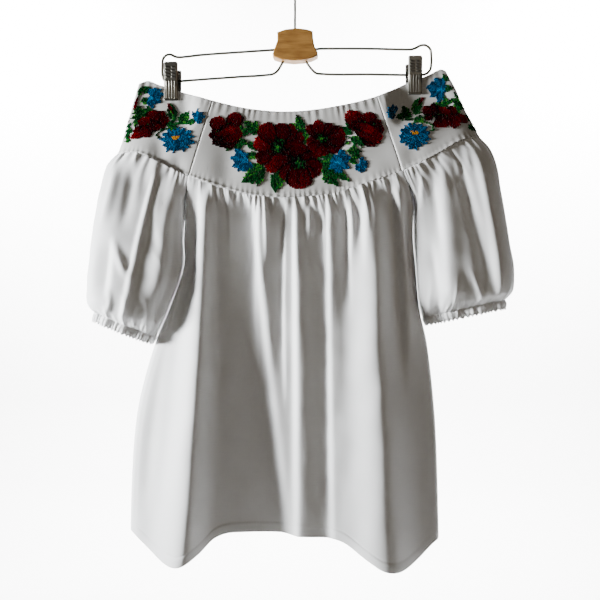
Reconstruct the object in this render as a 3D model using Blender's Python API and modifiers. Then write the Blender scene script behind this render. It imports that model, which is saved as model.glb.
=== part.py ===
"""An off-shoulder blouse hung by two clips from a wire hanger with a wooden block.

X runs to the right as the blouse is seen from the front, Y runs away behind it and Z is up.
The origin is the inner apex of the hanger's hook. Sizes and places are in millimetres, and every
mesh is scaled to metres as it is made. Left and right are the viewer's.
"""

from collections import namedtuple
from math import cos, exp, hypot, pi, sin

import bmesh
import bpy
from mathutils import Vector

MM = 0.001

# Cloth
WALL = 1.4
SEAM = 0.6  # between the middles of two edges that are sewn together
BESIDE = 3.2  # between the middles of two walls that lie side by side
SIDE_SEAM_HALF = 0.95  # from the middle plane to the edge of each body panel
CUFF_CLEAR = 2.5  # more than that between a cuff and the body
LAYER_HALF = 0.95  # from the middle plane to each layer where a clip pinches the yoke
ROUNDNESS = 3.0  # exponent of the flattened tube that every section follows

# Yoke
NECK_HALF = 9.0
YOKE_LOW_HALF = 26.0
YOKE_ROWS = (0.0, 0.12, 0.24, 0.5, 0.75, 1.0)
MIDDLE_STATIONS = 20
SHOULDER_STATIONS = (0, 0.12, 0.25, 0.37, 0.46, 0.57, 0.69, 0.78, 0.86, 0.92, 0.96, 0.985, 1)

# Body
BODY_GATHERS = 36
GATHER_COLUMNS = 4
UNDERARM_Z = -330.0
BODY_FINE_ROWS = (0.0, 0.025)
BODY_MIDDLE_ROWS = (0.065, 0.12, 0.18)
BODY_LOW_ROWS = (0.24, 0.29, 0.35, 0.43, 0.52, 0.61, 0.70, 0.79, 0.87, 0.94, 1.0)

# Sleeves and cuffs
SLEEVE_GATHERS = 22
SLEEVE_GATHER_COLUMNS = 3
SLEEVE_FINE_ROWS = (0.0, 0.06)
SLEEVE_LOW_ROWS = (0.14, 0.25, 0.4, 0.5, 0.6, 0.7, 0.79, 0.87, 0.93)
CUFF_HEIGHT = 11.0

# Clips and hanger
CLIP_WIDTH = 18.0
CLIP_HEIGHT = 50.0
CLIP_SHEET = 1.2
SPRING_LENGTH = 12.0
SPRING_OUTER = 3.1
SPRING_INNER = 1.85
WIRE_RADIUS = 1.4
BLOCK_THICK = 24.0
HOOK_RADIUS = 1.6
HOOK_BOWL = 17.0  # radius of the hook's middle line
HOOK_FOOT_Z = -57.6

# The yoke's top edge, with the place on the lower seam that each point of it runs down to
YokeLine = namedtuple("YokeLine", "top_x top_z low_x")
YOKE_LINES = (
    YokeLine(-203, -128, -229),
    YokeLine(-191, -124, -212),
    YokeLine(-177, -129, -197),
    YokeLine(-161, -134, -180),
    YokeLine(-106, -151, -135),
    YokeLine(-56, -162, -71),
    YokeLine(-3, -165, 0),
    YokeLine(54, -158, 71),
    YokeLine(106, -145, 137),
    YokeLine(156, -122, 190),
    YokeLine(167, -119, 203),
    YokeLine(179, -113.5, 217),
    YokeLine(189, -109, 229),
    YokeLine(196, -111, 238.5),
)
YOKE_SEAMS_X = (-106.0, 106.0)

# The seam between the yoke and the gathered panels below it
SeamPoint = namedtuple("SeamPoint", "x z")
SEAM_LINE = (
    SeamPoint(-229, -218),
    SeamPoint(-203, -218),
    SeamPoint(-182, -226.5),
    SeamPoint(-135, -249),
    SeamPoint(-71, -270),
    SeamPoint(-28, -276),
    SeamPoint(13, -275),
    SeamPoint(50, -271.5),
    SeamPoint(93, -257),
    SeamPoint(136, -243),
    SeamPoint(182, -220.5),
    SeamPoint(213, -202.5),
    SeamPoint(238.5, -196),
)

# The body's side edges and the half depth of its middle
BodyLevel = namedtuple("BodyLevel", "z left_x right_x depth")
BODY_LEVELS = (
    BodyLevel(-240, -135, 137, 26),
    BodyLevel(-283, -140, 151, 26),
    BodyLevel(-330, -144, 153, 25),
    BodyLevel(-364, -144, 156, 25),
    BodyLevel(-418, -162, 161, 25),
    BodyLevel(-464, -181, 171, 26),
    BodyLevel(-541, -202, 180, 27),
    BodyLevel(-610, -210, 184, 28),
    BodyLevel(-730, -214, 187, 30),
)

# The hem, which drops into a lobe at each side
HemPoint = namedtuple("HemPoint", "x z")
HEM_LINE = (
    HemPoint(-214, -704),
    HemPoint(-184, -727),
    HemPoint(-162, -740),
    HemPoint(-143, -742),
    HemPoint(-122, -729),
    HemPoint(-102, -711),
    HemPoint(-78, -705),
    HemPoint(31, -709),
    HemPoint(60, -714),
    HemPoint(90, -735),
    HemPoint(112, -748),
    HemPoint(137, -749),
    HemPoint(162, -738),
    HemPoint(187, -716),
)

# Folds run down the cloth: negative rises are troughs, and a fade of 0 lets one run off the edge
Fold = namedtuple("Fold", "top_x mid_x low_x top_z low_z top_width low_width top_rise low_rise fade")
FRONT_FOLDS = (
    Fold(-119, -135, -152, -255, -742, 9, 27, 4, 27, 0),
    Fold(-90, -80, -80, -265, -708, 11, 22, -5, -14, 0),
    Fold(-54, -57, -44, -272, -700, 8, 15, 5, 12, 30),
    Fold(-13, -13, -6, -276, -712, 9, 17, 5, 12, 0),
    Fold(32, 34, 45, -274, -712, 10, 17, 5, 12, 0),
    Fold(84, 91, 121, -262, -750, 13, 30, 6, 27, 0),
    Fold(118, 129, 134, -250, -640, 8, 13, -5, -12, 70),
    Fold(137, 153, 166, -255, -570, 7, 11, 4, 8, 60),
)
BACK_FOLDS = (
    Fold(-112, -140, -156, -256, -740, 9, 26, 4, 24, 0),
    Fold(-84, -98, -100, -265, -716, 10, 20, -5, -12, 0),
    Fold(-46, -38, -50, -270, -704, 9, 17, 5, 12, 0),
    Fold(4, 12, 2, -275, -640, 8, 15, 5, 10, 80),
    Fold(44, 38, 52, -272, -712, 10, 19, 5, 13, 0),
    Fold(78, 88, 82, -262, -728, 8, 17, -5, -12, 0),
    Fold(110, 124, 132, -250, -746, 11, 27, 4, 25, 0),
)

# The sleeves, from the yoke seam to the cuff. The inner edge's x comes from the body's side.
SleeveLevel = namedtuple("SleeveLevel", "t outer_x outer_z inner_z depth")
LEFT_SLEEVE = (
    SleeveLevel(0.0, -229, -218, -249, 26),
    SleeveLevel(0.1, -243, -234, -272, 26),
    SleeveLevel(0.25, -251, -262, -304, 29),
    SleeveLevel(0.4, -257, -295, -334, 33),
    SleeveLevel(0.6, -264, -340, -370, 38),
    SleeveLevel(0.78, -269, -383, -404, 43),
    SleeveLevel(0.92, -268, -411, -438, 40),
    SleeveLevel(1.0, -259, -423.5, -455, 27),
)
RIGHT_SLEEVE = (
    SleeveLevel(0.0, 238.5, -196, -243, 26),
    SleeveLevel(0.1, 253, -212, -264, 26),
    SleeveLevel(0.25, 263, -243, -298, 29),
    SleeveLevel(0.4, 269, -282, -334, 33),
    SleeveLevel(0.6, 276, -328, -366, 38),
    SleeveLevel(0.78, 282, -367, -396, 42),
    SleeveLevel(0.92, 280, -395, -418, 38),
    SleeveLevel(1.0, 268, -408, -430, 26),
)
LEFT_SLEEVE_FRONT = (
    Fold(-173, -197, -216, -226, -440, 6, 9, 5, 6, 0),
    Fold(-225, -235, -247, -218, -320, 6, 8, 4, 5, 30),
    Fold(-240, -252, -260, -325, -408, 8, 9, -6, -7, 25),
    Fold(-230, -220, -207, -325, -386, 7, 8, 5, 5, 25),
    Fold(-158, -171, -167, -240, -350, 9, 11, 5, 6, 40),
    Fold(-192, -187, -194, -400, -455, 6, 7, 5, 4, 0),
)
LEFT_SLEEVE_BACK = (
    Fold(-166, -184, -206, -232, -446, 8, 11, 5, 7, 0),
    Fold(-206, -224, -236, -222, -400, 7, 10, 5, 6, 50),
    Fold(-188, -203, -222, -228, -420, 6, 9, -4, -5, 50),
)
RIGHT_SLEEVE_FRONT = (
    Fold(190, 193, 198, -220, -415, 11, 14, 6, 8, 20),
    Fold(206, 228, 247, -226, -400, 7, 13, -5, -8, 30),
    Fold(229, 250, 261, -212, -412, 9, 11, 5, 7, 0),
    Fold(220, 230, 240, -360, -420, 6, 7, 5, 5, 0),
    Fold(172, 178, 186, -330, -438, 7, 8, -4, -5, 0),
)
RIGHT_SLEEVE_BACK = (
    Fold(172, 184, 196, -236, -436, 8, 11, 5, 7, 0),
    Fold(214, 232, 244, -212, -390, 7, 11, 5, 7, 50),
    Fold(193, 208, 224, -222, -410, 6, 9, -4, -5, 50),
)

# The clips: the middle of each, its lower end and the height of the wire that it hangs on
Clip = namedtuple("Clip", "name x low_z wire_z")
CLIPS = (Clip("left", -161, -150, -124.5), Clip("right", 156, -142, -116.2))
# A plate's middle line: how far below the plate's top and how far from the middle plane
PlateBend = namedtuple("PlateBend", "below away")
PLATE_BENDS = (
    PlateBend(0, 5.6),
    PlateBend(10, 5.2),
    PlateBend(25, 4.5),
    PlateBend(32, 2.6),
    PlateBend(50, 2.6),
)

# The hanger's wires, each from the block's side, round its clip's end and back below the block
WirePoint = namedtuple("WirePoint", "x z")
LEFT_WIRE = (
    WirePoint(-26.6, -83.5),
    WirePoint(-72, -86.5),
    WirePoint(-121, -90),
    WirePoint(-148, -93),
    WirePoint(-155, -92.5),
    WirePoint(-162, -89.5),
    WirePoint(-168, -91),
    WirePoint(-171.6, -96),
    WirePoint(-172.4, -106),
    WirePoint(-172.4, -115),
    WirePoint(-171, -121),
    WirePoint(-167.5, -124.4),
    WirePoint(-161, -124.5),
    WirePoint(-154, -124.5),
    WirePoint(-121, -122),
    WirePoint(-72, -118.5),
    WirePoint(-31, -115.5),
    WirePoint(-23, -111),
    WirePoint(-16, -99.6),
)
RIGHT_WIRE = (
    WirePoint(26.8, -83),
    WirePoint(34, -82),
    WirePoint(98, -82),
    WirePoint(150, -83),
    WirePoint(157, -81),
    WirePoint(163, -77.8),
    WirePoint(170, -77.6),
    WirePoint(176, -83),
    WirePoint(177.2, -94),
    WirePoint(177, -104),
    WirePoint(175, -110.5),
    WirePoint(170, -114.8),
    WirePoint(163, -116.2),
    WirePoint(149, -116.2),
    WirePoint(98, -115.4),
    WirePoint(30, -114.5),
    WirePoint(22, -109),
    WirePoint(15, -99.4),
)

# A point of a route, with its distance from the route's start
RoutePoint = namedtuple("RoutePoint", "run x y z")

# The block's outline, clockwise from its upper left corner
BlockCorner = namedtuple("BlockCorner", "x z")
BLOCK_OUTLINE = (
    BlockCorner(-23, -63),
    BlockCorner(-12, -59),
    BlockCorner(3, -58),
    BlockCorner(15, -59),
    BlockCorner(23, -62),
    BlockCorner(23.5, -72),
    BlockCorner(26.5, -85),
    BlockCorner(30, -93),
    BlockCorner(22, -96.5),
    BlockCorner(12, -98.8),
    BlockCorner(-2, -100),
    BlockCorner(-16, -98.6),
    BlockCorner(-29, -94),
    BlockCorner(-26.5, -86),
    BlockCorner(-22.5, -73),
)

# Colours, roughness and metallic value of each material
Finish = namedtuple("Finish", "colour roughness metallic")
FINISHES = {
    "cotton": Finish((0.83, 0.82, 0.81), 0.7, 0.0),
    "wood": Finish((0.40, 0.20, 0.07), 0.5, 0.0),
    "steel": Finish((0.50, 0.49, 0.48), 0.32, 1.0),
}


def clear_scene():
    for thing in list(bpy.data.objects):
        bpy.data.objects.remove(thing, do_unlink=True)


def blend(first, second, share):
    return first + (second - first) * share


def ease(share):
    share = min(1.0, max(0.0, share))
    return share * share * (3 - 2 * share)


def along(rows, key, value, at):
    """A smooth value between a table's rows, by cubic pieces through its named columns."""
    keys = [getattr(row, key) for row in rows]
    values = [getattr(row, value) for row in rows]
    if keys[0] > keys[-1]:
        keys, values = keys[::-1], values[::-1]
    at = min(keys[-1], max(keys[0], at))
    last = len(keys) - 1
    i = max(j for j in range(last) if keys[j] <= at)
    slopes = []
    for j in (i, i + 1):
        before, after = max(0, j - 1), min(last, j + 1)
        slopes.append((values[after] - values[before]) / (keys[after] - keys[before]))
    span = keys[i + 1] - keys[i]
    u = (at - keys[i]) / span
    return (
        (2 * u**3 - 3 * u**2 + 1) * values[i]
        + (u**3 - 2 * u**2 + u) * span * slopes[0]
        + (3 * u**2 - 2 * u**3) * values[i + 1]
        + (u**3 - u**2) * span * slopes[1]
    )


def lens(s):
    """The half depth, 0 to 1, of a flattened tube at s, which is -1 and 1 at its two edges."""
    return max(0.0, 1 - abs(s) ** ROUNDNESS) ** (1 / ROUNDNESS)


def seam_z(x):
    return along(SEAM_LINE, "x", "z", x)


def body_side(side, z):
    return along(BODY_LEVELS, "z", "left_x" if side < 0 else "right_x", z)


def yoke_half(x, t):
    """The yoke's half depth before the clips pinch it."""
    first, last = YOKE_LINES[0], YOKE_LINES[-1]
    left = blend(first.top_x, first.low_x, t)
    right = blend(last.top_x, last.low_x, t)
    s = 2 * (x - left) / (right - left) - 1
    return blend(NECK_HALF, YOKE_LOW_HALF, t) * lens(s)


def pinch(x, z):
    """1 where a clip presses the two layers together, falling to 0 round it."""
    most = 0.0
    flat, reach = CLIP_WIDTH / 2 + 8, 24
    for clip in CLIPS:
        aside = max(0.0, abs(x - clip.x) - flat)
        below = max(0.0, clip.low_z - 8 - z)
        most = max(most, 1 - ease(hypot(aside, 0.6 * below) / reach))
    return most


def yoke_point(top_x, t, face):
    """A point of the yoke; face is -1 on the front and 1 on the back."""
    low_x = along(YOKE_LINES, "top_x", "low_x", top_x)
    x = blend(top_x, low_x, t)
    z = blend(along(YOKE_LINES, "top_x", "top_z", top_x), seam_z(low_x), t)
    half = blend(yoke_half(x, t), LAYER_HALF * (lens(2 * (top_x + 3.5) / 399) > 0), pinch(x, z))
    return Vector((x, face * half, z))


def fold_rise(folds, x, z):
    """How far the folds lift the cloth at a place."""
    total = 0.0
    for fold in folds:
        down = (fold.top_z - z) / (fold.top_z - fold.low_z)
        if down <= 0:
            continue
        held = min(down, 1.0)
        early = blend(fold.top_x, fold.mid_x, held)
        middle = blend(early, blend(fold.mid_x, fold.low_x, held), held)
        centre = middle + (2 * fold.mid_x - fold.top_x - fold.low_x) * held * (1 - held)
        width = blend(fold.top_width, fold.low_width, held)
        rise = blend(fold.top_rise, fold.low_rise, held)
        strength = ease((fold.top_z - z) / 45)
        if fold.fade:
            strength *= 1 - ease((fold.low_z + fold.fade - z) / fold.fade)
        total += rise * strength * exp(-(((x - centre) / width) ** 2))
    return total


def swell(below, peak, end):
    """Grows to 1 at a distance below a seam and dies out at the end."""
    return ease(below / peak) if below < peak else 1 - ease((below - peak) / (end - peak))


def gather_rise(phase, below, uneven):
    """Gathers that start at a seam and run together, two and two, as they go down."""
    shift = 0.35 * sin(phase * uneven) + 0.2 * sin(phase * 0.37 + uneven)
    first = (0.35 + 0.65 * ease(below / 10)) * (1 - ease((below - 10) / 25))
    return (
        1.2 * first * cos(2 * pi * (phase + 0.3 * shift))
        + 2.0 * swell(below, 26, 75) * cos(pi * (phase + shift))
        + 2.8 * swell(below, 75, 210) * cos(pi / 2 * (phase + 1.5 * shift) + uneven)
    )


def displaced(points, rises, closed):
    """A row of points moved along its own level normals, outwards where the rise is positive."""
    moved = []
    last = len(points) - 1
    for i, point in enumerate(points):
        before = points[i - 1] if i or closed else point
        after = points[(i + 1) % len(points)] if i < last or closed else point
        way = after - before
        normal = Vector((way.y, -way.x, 0.0))
        moved.append(point + normal.normalized() * rises[i] if normal.length > 1e-6 else point)
    return moved


def body_row(t, columns, face, folds, uneven):
    """A row of a body panel, from one side seam to the other, with the cloth's outside at its right."""
    left_top, right_top = BODY_LEVELS[0].left_x, BODY_LEVELS[0].right_x
    left_hem, right_hem = HEM_LINE[0], HEM_LINE[-1]
    side_z = (
        blend(seam_z(left_top) - SEAM, left_hem.z, t),
        blend(seam_z(right_top) - SEAM, right_hem.z, t),
    )
    left, right = body_side(-1, side_z[0]), body_side(1, side_z[1])
    points, rises = [], []
    for column in range(columns + 1):
        q = column / columns
        s = 2 * q - 1
        x = blend(left, right, q)
        top = seam_z(blend(left_top, right_top, q)) - SEAM
        hem = along(HEM_LINE, "x", "z", blend(left_hem.x, right_hem.x, q))
        z = blend(top, hem, t)
        crease = crease_at(top, z)
        start = yoke_half(blend(left_top, right_top, q), 1.0)
        depth = along(BODY_LEVELS, "z", "depth", z)
        base = blend(start, depth, ease((top - z) / 90)) * (1 - crease * (1 - lens(s)))
        points.append(Vector((x, face * max(base, SIDE_SEAM_HALF), z)))
        fade = 1 - abs(s) ** 10
        rise = fold_rise(folds, x, z) + gather_rise(q * BODY_GATHERS, top - z, uneven)
        rises.append(rise * fade)
    if face > 0:
        points.reverse()
        rises.reverse()
    return displaced(points, rises, False)


def crease_at(top, z):
    """How deeply the armhole's valley has closed: 0 at the yoke seam, 1 from the underarm down."""
    return ease((top - z) / (top - UNDERARM_Z))


def sleeve_row(levels, t, columns, folds, uneven):
    """A row round a sleeve, from the armhole's front edge over the outer fold to its back edge."""
    side = 1 if levels[0].outer_x > 0 else -1
    outer_x = along(levels, "t", "outer_x", t)
    outer_z = along(levels, "t", "outer_z", t)
    inner_z = along(levels, "t", "inner_z", t)
    top = levels[0]
    top_inner_x = BODY_LEVELS[0].right_x if side > 0 else BODY_LEVELS[0].left_x
    crease = crease_at(top.inner_z, inner_z)
    clear = blend(SEAM, BESIDE, min(1, 3 * crease)) + CUFF_CLEAR * t**3
    inner_x = body_side(side, inner_z) + side * clear
    depth = along(levels, "t", "depth", t)
    closed = crease >= 1
    points, rises = [], []
    for column in range(columns if closed else columns + 1):
        turn = 2 * pi * column / columns
        s = cos(turn)
        q = (s + 1) / 2
        face = -1 if column <= columns / 2 else 1
        x = blend(outer_x, inner_x, q)
        top_x = blend(top.outer_x, top_inner_x + side * SEAM, q)
        straight = blend(top.outer_z, top.inner_z, q)
        z = blend(outer_z, inner_z, q) + (seam_z(top_x) - SEAM - straight) * (1 - ease(t / 0.35))
        closing = crease if s > 0 else 1.0
        own = depth * (1 - closing * (1 - lens(s)))
        start = yoke_half(top_x, 1.0) * (1 - (crease if s > 0 else 0.0) * (1 - lens(s)))
        base = blend(start, own, ease(t / 0.3))
        points.append(Vector((x, face * base, z)))
        fade = 1 - abs(s) ** 10 if s > 0 else 1.0
        below = seam_z(top_x) - z
        above_cuff = (1 - t) * (top.inner_z - levels[-1].inner_z)
        phase = SLEEVE_GATHERS * column / columns
        lift = fold_rise(folds[0] if face < 0 else folds[1], x, z)
        lift += 0.8 * gather_rise(phase, below, uneven) * (1 - ease(t))
        lift += 0.8 * gather_rise(phase, above_cuff, uneven + 1) * ease(t)
        rises.append(lift * fade)
    outwards = [-rise if side < 0 else rise for rise in rises]
    return displaced(points, outwards, closed)


def stitch(name, rows, material):
    """A thin wall through rows of points; a row may have twice the stretches of its neighbour.

    Each row is a pair: its points and its number of stretches. A closed row has one point a stretch.
    """
    mesh = bmesh.new()
    made = [([mesh.verts.new(point * MM) for point in points], count) for points, count in rows]
    for (upper, many), (lower, few) in zip(made, made[1:]):
        stretches = min(many, few)
        for i in range(stretches):
            a = [upper[k % len(upper)] for k in range(i * many // stretches, (i + 1) * many // stretches + 1)]
            b = [lower[k % len(lower)] for k in range(i * few // stretches, (i + 1) * few // stretches + 1)]
            if len(a) == len(b):
                mesh.faces.new((a[0], b[0], b[1], a[1]))
            elif len(a) > len(b):
                mesh.faces.new((a[0], b[0], a[1]))
                mesh.faces.new((a[1], b[0], b[1]))
                mesh.faces.new((a[1], b[1], a[2]))
            else:
                mesh.faces.new((a[0], b[0], b[1]))
                mesh.faces.new((a[0], b[1], a[1]))
                mesh.faces.new((a[1], b[1], b[2]))
    bmesh.ops.recalc_face_normals(mesh, faces=mesh.faces)
    return shell(name, mesh, material, WALL)


def shell(name, mesh, material, thick):
    """An object whose open surface is given its thickness, half to each side."""
    thing = mesh_object(name, mesh, material)
    solid = thing.modifiers.new("thickness", "SOLIDIFY")
    solid.thickness = thick * MM
    solid.offset = 0.0
    return thing


def mesh_object(name, mesh, material):
    data = bpy.data.meshes.new(name)
    mesh.to_mesh(data)
    mesh.free()
    data.shade_smooth()
    return placed(name, data, material)


def placed(name, data, material):
    thing = bpy.data.objects.new(name, data)
    data.materials.append(material)
    PARTS.objects.link(thing)
    return thing


def build_yoke(cotton):
    first, last = YOKE_LINES[0].top_x, YOKE_LINES[-1].top_x
    left_seam, right_seam = YOKE_SEAMS_X
    trim = 0.8
    for name, face in (("yoke_front", -1), ("yoke_back", 1)):
        rows = []
        for t in YOKE_ROWS:
            stops = [blend(left_seam + trim, right_seam - trim, i / MIDDLE_STATIONS) for i in range(MIDDLE_STATIONS + 1)]
            rows.append(([yoke_point(stop, t, face) for stop in stops], MIDDLE_STATIONS))
        stitch(name, rows, cotton)
    for name, seam, fold in (("yoke_left", left_seam, first), ("yoke_right", right_seam, last)):
        rows = []
        for t in YOKE_ROWS:
            front = [yoke_point(blend(seam, fold, share), t, -1) for share in SHOULDER_STATIONS]
            back = [yoke_point(blend(seam, fold, share), t, 1) for share in SHOULDER_STATIONS[-2::-1]]
            rows.append((front + back, len(front + back) - 1))
        stitch(name, rows, cotton)


def build_body(cotton):
    fine = BODY_GATHERS * GATHER_COLUMNS
    for name, face, folds, uneven in (("body_front", -1, FRONT_FOLDS, 1.3), ("body_back", 1, BACK_FOLDS, 2.1)):
        rows = []
        for levels, columns in ((BODY_FINE_ROWS, fine), (BODY_MIDDLE_ROWS, fine // 2), (BODY_LOW_ROWS, fine // 4)):
            rows += [(body_row(t, columns, face, folds, uneven), columns) for t in levels]
        stitch(name, rows, cotton)


def build_sleeves(cotton):
    fine = SLEEVE_GATHERS * SLEEVE_GATHER_COLUMNS
    sleeves = (
        ("left", LEFT_SLEEVE, (LEFT_SLEEVE_FRONT, LEFT_SLEEVE_BACK), 1.7),
        ("right", RIGHT_SLEEVE, (RIGHT_SLEEVE_FRONT, RIGHT_SLEEVE_BACK), 2.6),
    )
    for name, levels, folds, uneven in sleeves:
        rows = [(sleeve_row(levels, t, fine, folds, uneven), fine) for t in SLEEVE_FINE_ROWS]
        rows += [(sleeve_row(levels, t, fine // 2, folds, uneven), fine // 2) for t in SLEEVE_LOW_ROWS]
        end = sleeve_row(levels, 1.0, fine, folds, uneven)
        rows.append((end, fine))
        stitch("sleeve_" + name, rows, cotton)
        build_cuff("cuff_" + name, levels, end, cotton)


def build_cuff(name, levels, end, cotton):
    """The elastic casing, which carries on the sleeve's last row square to it."""
    last = levels[-1]
    side = 1 if last.outer_x > 0 else -1
    inner_x = body_side(side, last.inner_z)
    across = Vector((last.outer_x - inner_x, 0.0, last.outer_z - last.inner_z)).normalized()
    down = Vector((across.z, 0.0, -across.x)) * side
    rows = []
    for share in (0.0, 0.5, 1.0):
        shift = down * (SEAM + share * CUFF_HEIGHT)
        rows.append(([point + shift for point in end], len(end)))
    stitch(name, rows, cotton)


def build_clips(steel):
    for clip in CLIPS:
        top_z = clip.low_z + CLIP_HEIGHT
        for face, word in ((-1, "front"), (1, "back")):
            mesh = bmesh.new()
            rows = []
            for bend in PLATE_BENDS:
                y = face * (bend.away)
                ends = [Vector((clip.x + half, y, top_z - bend.below)) for half in (-CLIP_WIDTH / 2, CLIP_WIDTH / 2)]
                rows.append([mesh.verts.new(end * MM) for end in ends])
            for upper, lower in zip(rows, rows[1:]):
                mesh.faces.new((upper[0], lower[0], lower[1], upper[1]))
            shell(f"clip_{clip.name}_{word}", mesh, steel, CLIP_SHEET)
        build_spring(clip, steel)


def build_spring(clip, steel):
    """The spring's barrel, turned round the wire that the clip hangs on."""
    half = SPRING_LENGTH / 2
    corners = ((SPRING_OUTER, half), (SPRING_OUTER, -half), (SPRING_INNER, -half), (SPRING_INNER, half))
    mesh = bmesh.new()
    points = [mesh.verts.new((radius * MM, 0, height * MM)) for radius, height in corners]
    for first, second in zip(points, points[1:] + points[:1]):
        mesh.edges.new((first, second))
    thing = mesh_object(f"clip_{clip.name}_spring", mesh, steel)
    turn = thing.modifiers.new("turn", "SCREW")
    turn.steps = turn.render_steps = 12
    turn.use_merge_vertices = True
    turn.merge_threshold = 0.00001
    thing.location = Vector((clip.x, 0, clip.wire_z)) * MM
    thing.rotation_euler = (0, pi / 2, 0)


def wire_object(name, route, radius, material):
    """A round wire along a route of points."""
    data = bpy.data.curves.new(name, "CURVE")
    data.dimensions = "3D"
    data.bevel_depth = radius * MM
    data.bevel_resolution = 2
    data.use_fill_caps = True
    spline = data.splines.new("POLY")
    spline.points.add(len(route) - 1)
    for point, place in zip(spline.points, route):
        point.co = (place.x * MM, place.y * MM, place.z * MM, 1)
    return placed(name, data, material)


def rounded(corners, steps):
    """Points on a smooth line through a list of corners, with steps to each stretch."""
    rows = [RoutePoint(0.0, *corners[0])]
    for corner, before in zip(corners[1:], corners):
        rows.append(RoutePoint(rows[-1].run + (corner - before).length, *corner))
    runs = [blend(one.run, two.run, step / steps) for one, two in zip(rows, rows[1:]) for step in range(steps)]
    runs.append(rows[-1].run)
    return [Vector([along(rows, "run", axis, run) for axis in "xyz"]) for run in runs]


def build_hanger(wood, steel):
    for name, table in (("wire_left", LEFT_WIRE), ("wire_right", RIGHT_WIRE)):
        corners = [Vector((point.x, 0, point.z)) for point in table]
        wire_object(name, rounded(corners, 2), WIRE_RADIUS, steel)
    build_block(wood)
    bowl_z = HOOK_RADIUS - HOOK_BOWL
    stem = [Vector((0, 0, HOOK_FOOT_Z)), Vector((0, 0, -50)), Vector((0, 3, -42)), Vector((0, 12, -32))]
    arc = [
        Vector((0, HOOK_BOWL * cos(turn * pi / 12), bowl_z + HOOK_BOWL * sin(turn * pi / 12)))
        for turn in range(-1, 15)
    ]
    wire_object("hanger_hook", rounded(stem, 2) + arc, HOOK_RADIUS, steel)


def build_block(wood):
    outline = bpy.data.curves.new("hanger_block", "CURVE")
    outline.dimensions = "2D"
    outline.fill_mode = "BOTH"
    outline.extrude = (BLOCK_THICK / 2) * MM
    spline = outline.splines.new("POLY")
    spline.use_cyclic_u = True
    spline.points.add(len(BLOCK_OUTLINE) - 1)
    for point, corner in zip(spline.points, BLOCK_OUTLINE):
        point.co = (corner.x * MM, corner.z * MM, 0, 1)
    thing = placed("hanger_block", outline, wood)
    thing.rotation_euler = (pi / 2, 0, 0)


def finish(name):
    values = FINISHES[name]
    material = bpy.data.materials.new(name)
    material.use_nodes = True
    shader = material.node_tree.nodes["Principled BSDF"]
    shader.inputs["Base Color"].default_value = (*values.colour, 1)
    shader.inputs["Roughness"].default_value = values.roughness
    shader.inputs["Metallic"].default_value = values.metallic
    return material


clear_scene()
PARTS = bpy.data.collections.new("off_shoulder_blouse")
bpy.context.scene.collection.children.link(PARTS)
COTTON, WOOD, STEEL = (finish(name) for name in FINISHES)
build_yoke(COTTON)
build_body(COTTON)
build_sleeves(COTTON)
build_clips(STEEL)
build_hanger(WOOD, STEEL)
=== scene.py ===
# %% [markdown]
# # A white off-shoulder blouse, hung by two clips
#
# The real thing is sewn from a light cotton blend with a soft sheen. A wide yoke of four panels
# carries bead embroidery, and the body and the two puff sleeves are gathered into its lower seam.
# The blouse hangs by its own weight from two metal clips, so the neck droops between them and the
# body falls in long, uneven folds.
#
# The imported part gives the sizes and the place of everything. This script adds what a solid can't
# show well: thin cloth with fine gathers, stitches, beads, a weave, wood grain and brushed metal.
# X runs to the right as the blouse is seen, Y runs away behind it, Z is up, and the tables are in
# millimetres from the hook's inner apex.

from collections import namedtuple
from math import cos, pi, sin

import bpy
import numpy as np
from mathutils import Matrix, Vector


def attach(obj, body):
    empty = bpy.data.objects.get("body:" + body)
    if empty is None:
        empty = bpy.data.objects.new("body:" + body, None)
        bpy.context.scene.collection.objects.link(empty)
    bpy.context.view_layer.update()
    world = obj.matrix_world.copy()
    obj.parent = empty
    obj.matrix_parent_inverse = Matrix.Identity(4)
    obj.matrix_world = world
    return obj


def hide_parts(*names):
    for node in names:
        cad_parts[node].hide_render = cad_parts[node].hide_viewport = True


MM = 0.001
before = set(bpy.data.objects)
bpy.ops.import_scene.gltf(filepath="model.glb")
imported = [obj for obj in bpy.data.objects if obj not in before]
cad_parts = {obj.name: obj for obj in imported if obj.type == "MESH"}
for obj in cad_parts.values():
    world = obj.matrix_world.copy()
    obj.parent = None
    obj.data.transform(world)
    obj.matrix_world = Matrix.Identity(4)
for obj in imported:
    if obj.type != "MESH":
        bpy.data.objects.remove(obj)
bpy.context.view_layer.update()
print("nodes:", sorted(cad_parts))

# %% [markdown]
# ## Smooth lines through short tables
#
# Every edge of the blouse is a short table of places, read off at the spots where the line
# turns. A cubic through the rows gives the value between them, which is how a draughtsperson would
# lay a flexible curve through marks. The same formula serves edges, depths and fold paths, and it
# works on whole arrays, so a fine grid of cloth is made in one go.


# %% Blends and tables
def mix(first, second, share):
    return first + (second - first) * share


def ease(share):
    share = np.clip(share, 0.0, 1.0)
    return share * share * (3 - 2 * share)


def hump(away, reach=1.0):
    """1 at a place, falling smoothly to nothing on both sides of it."""
    return np.exp(-((away / reach) ** 2))


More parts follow.
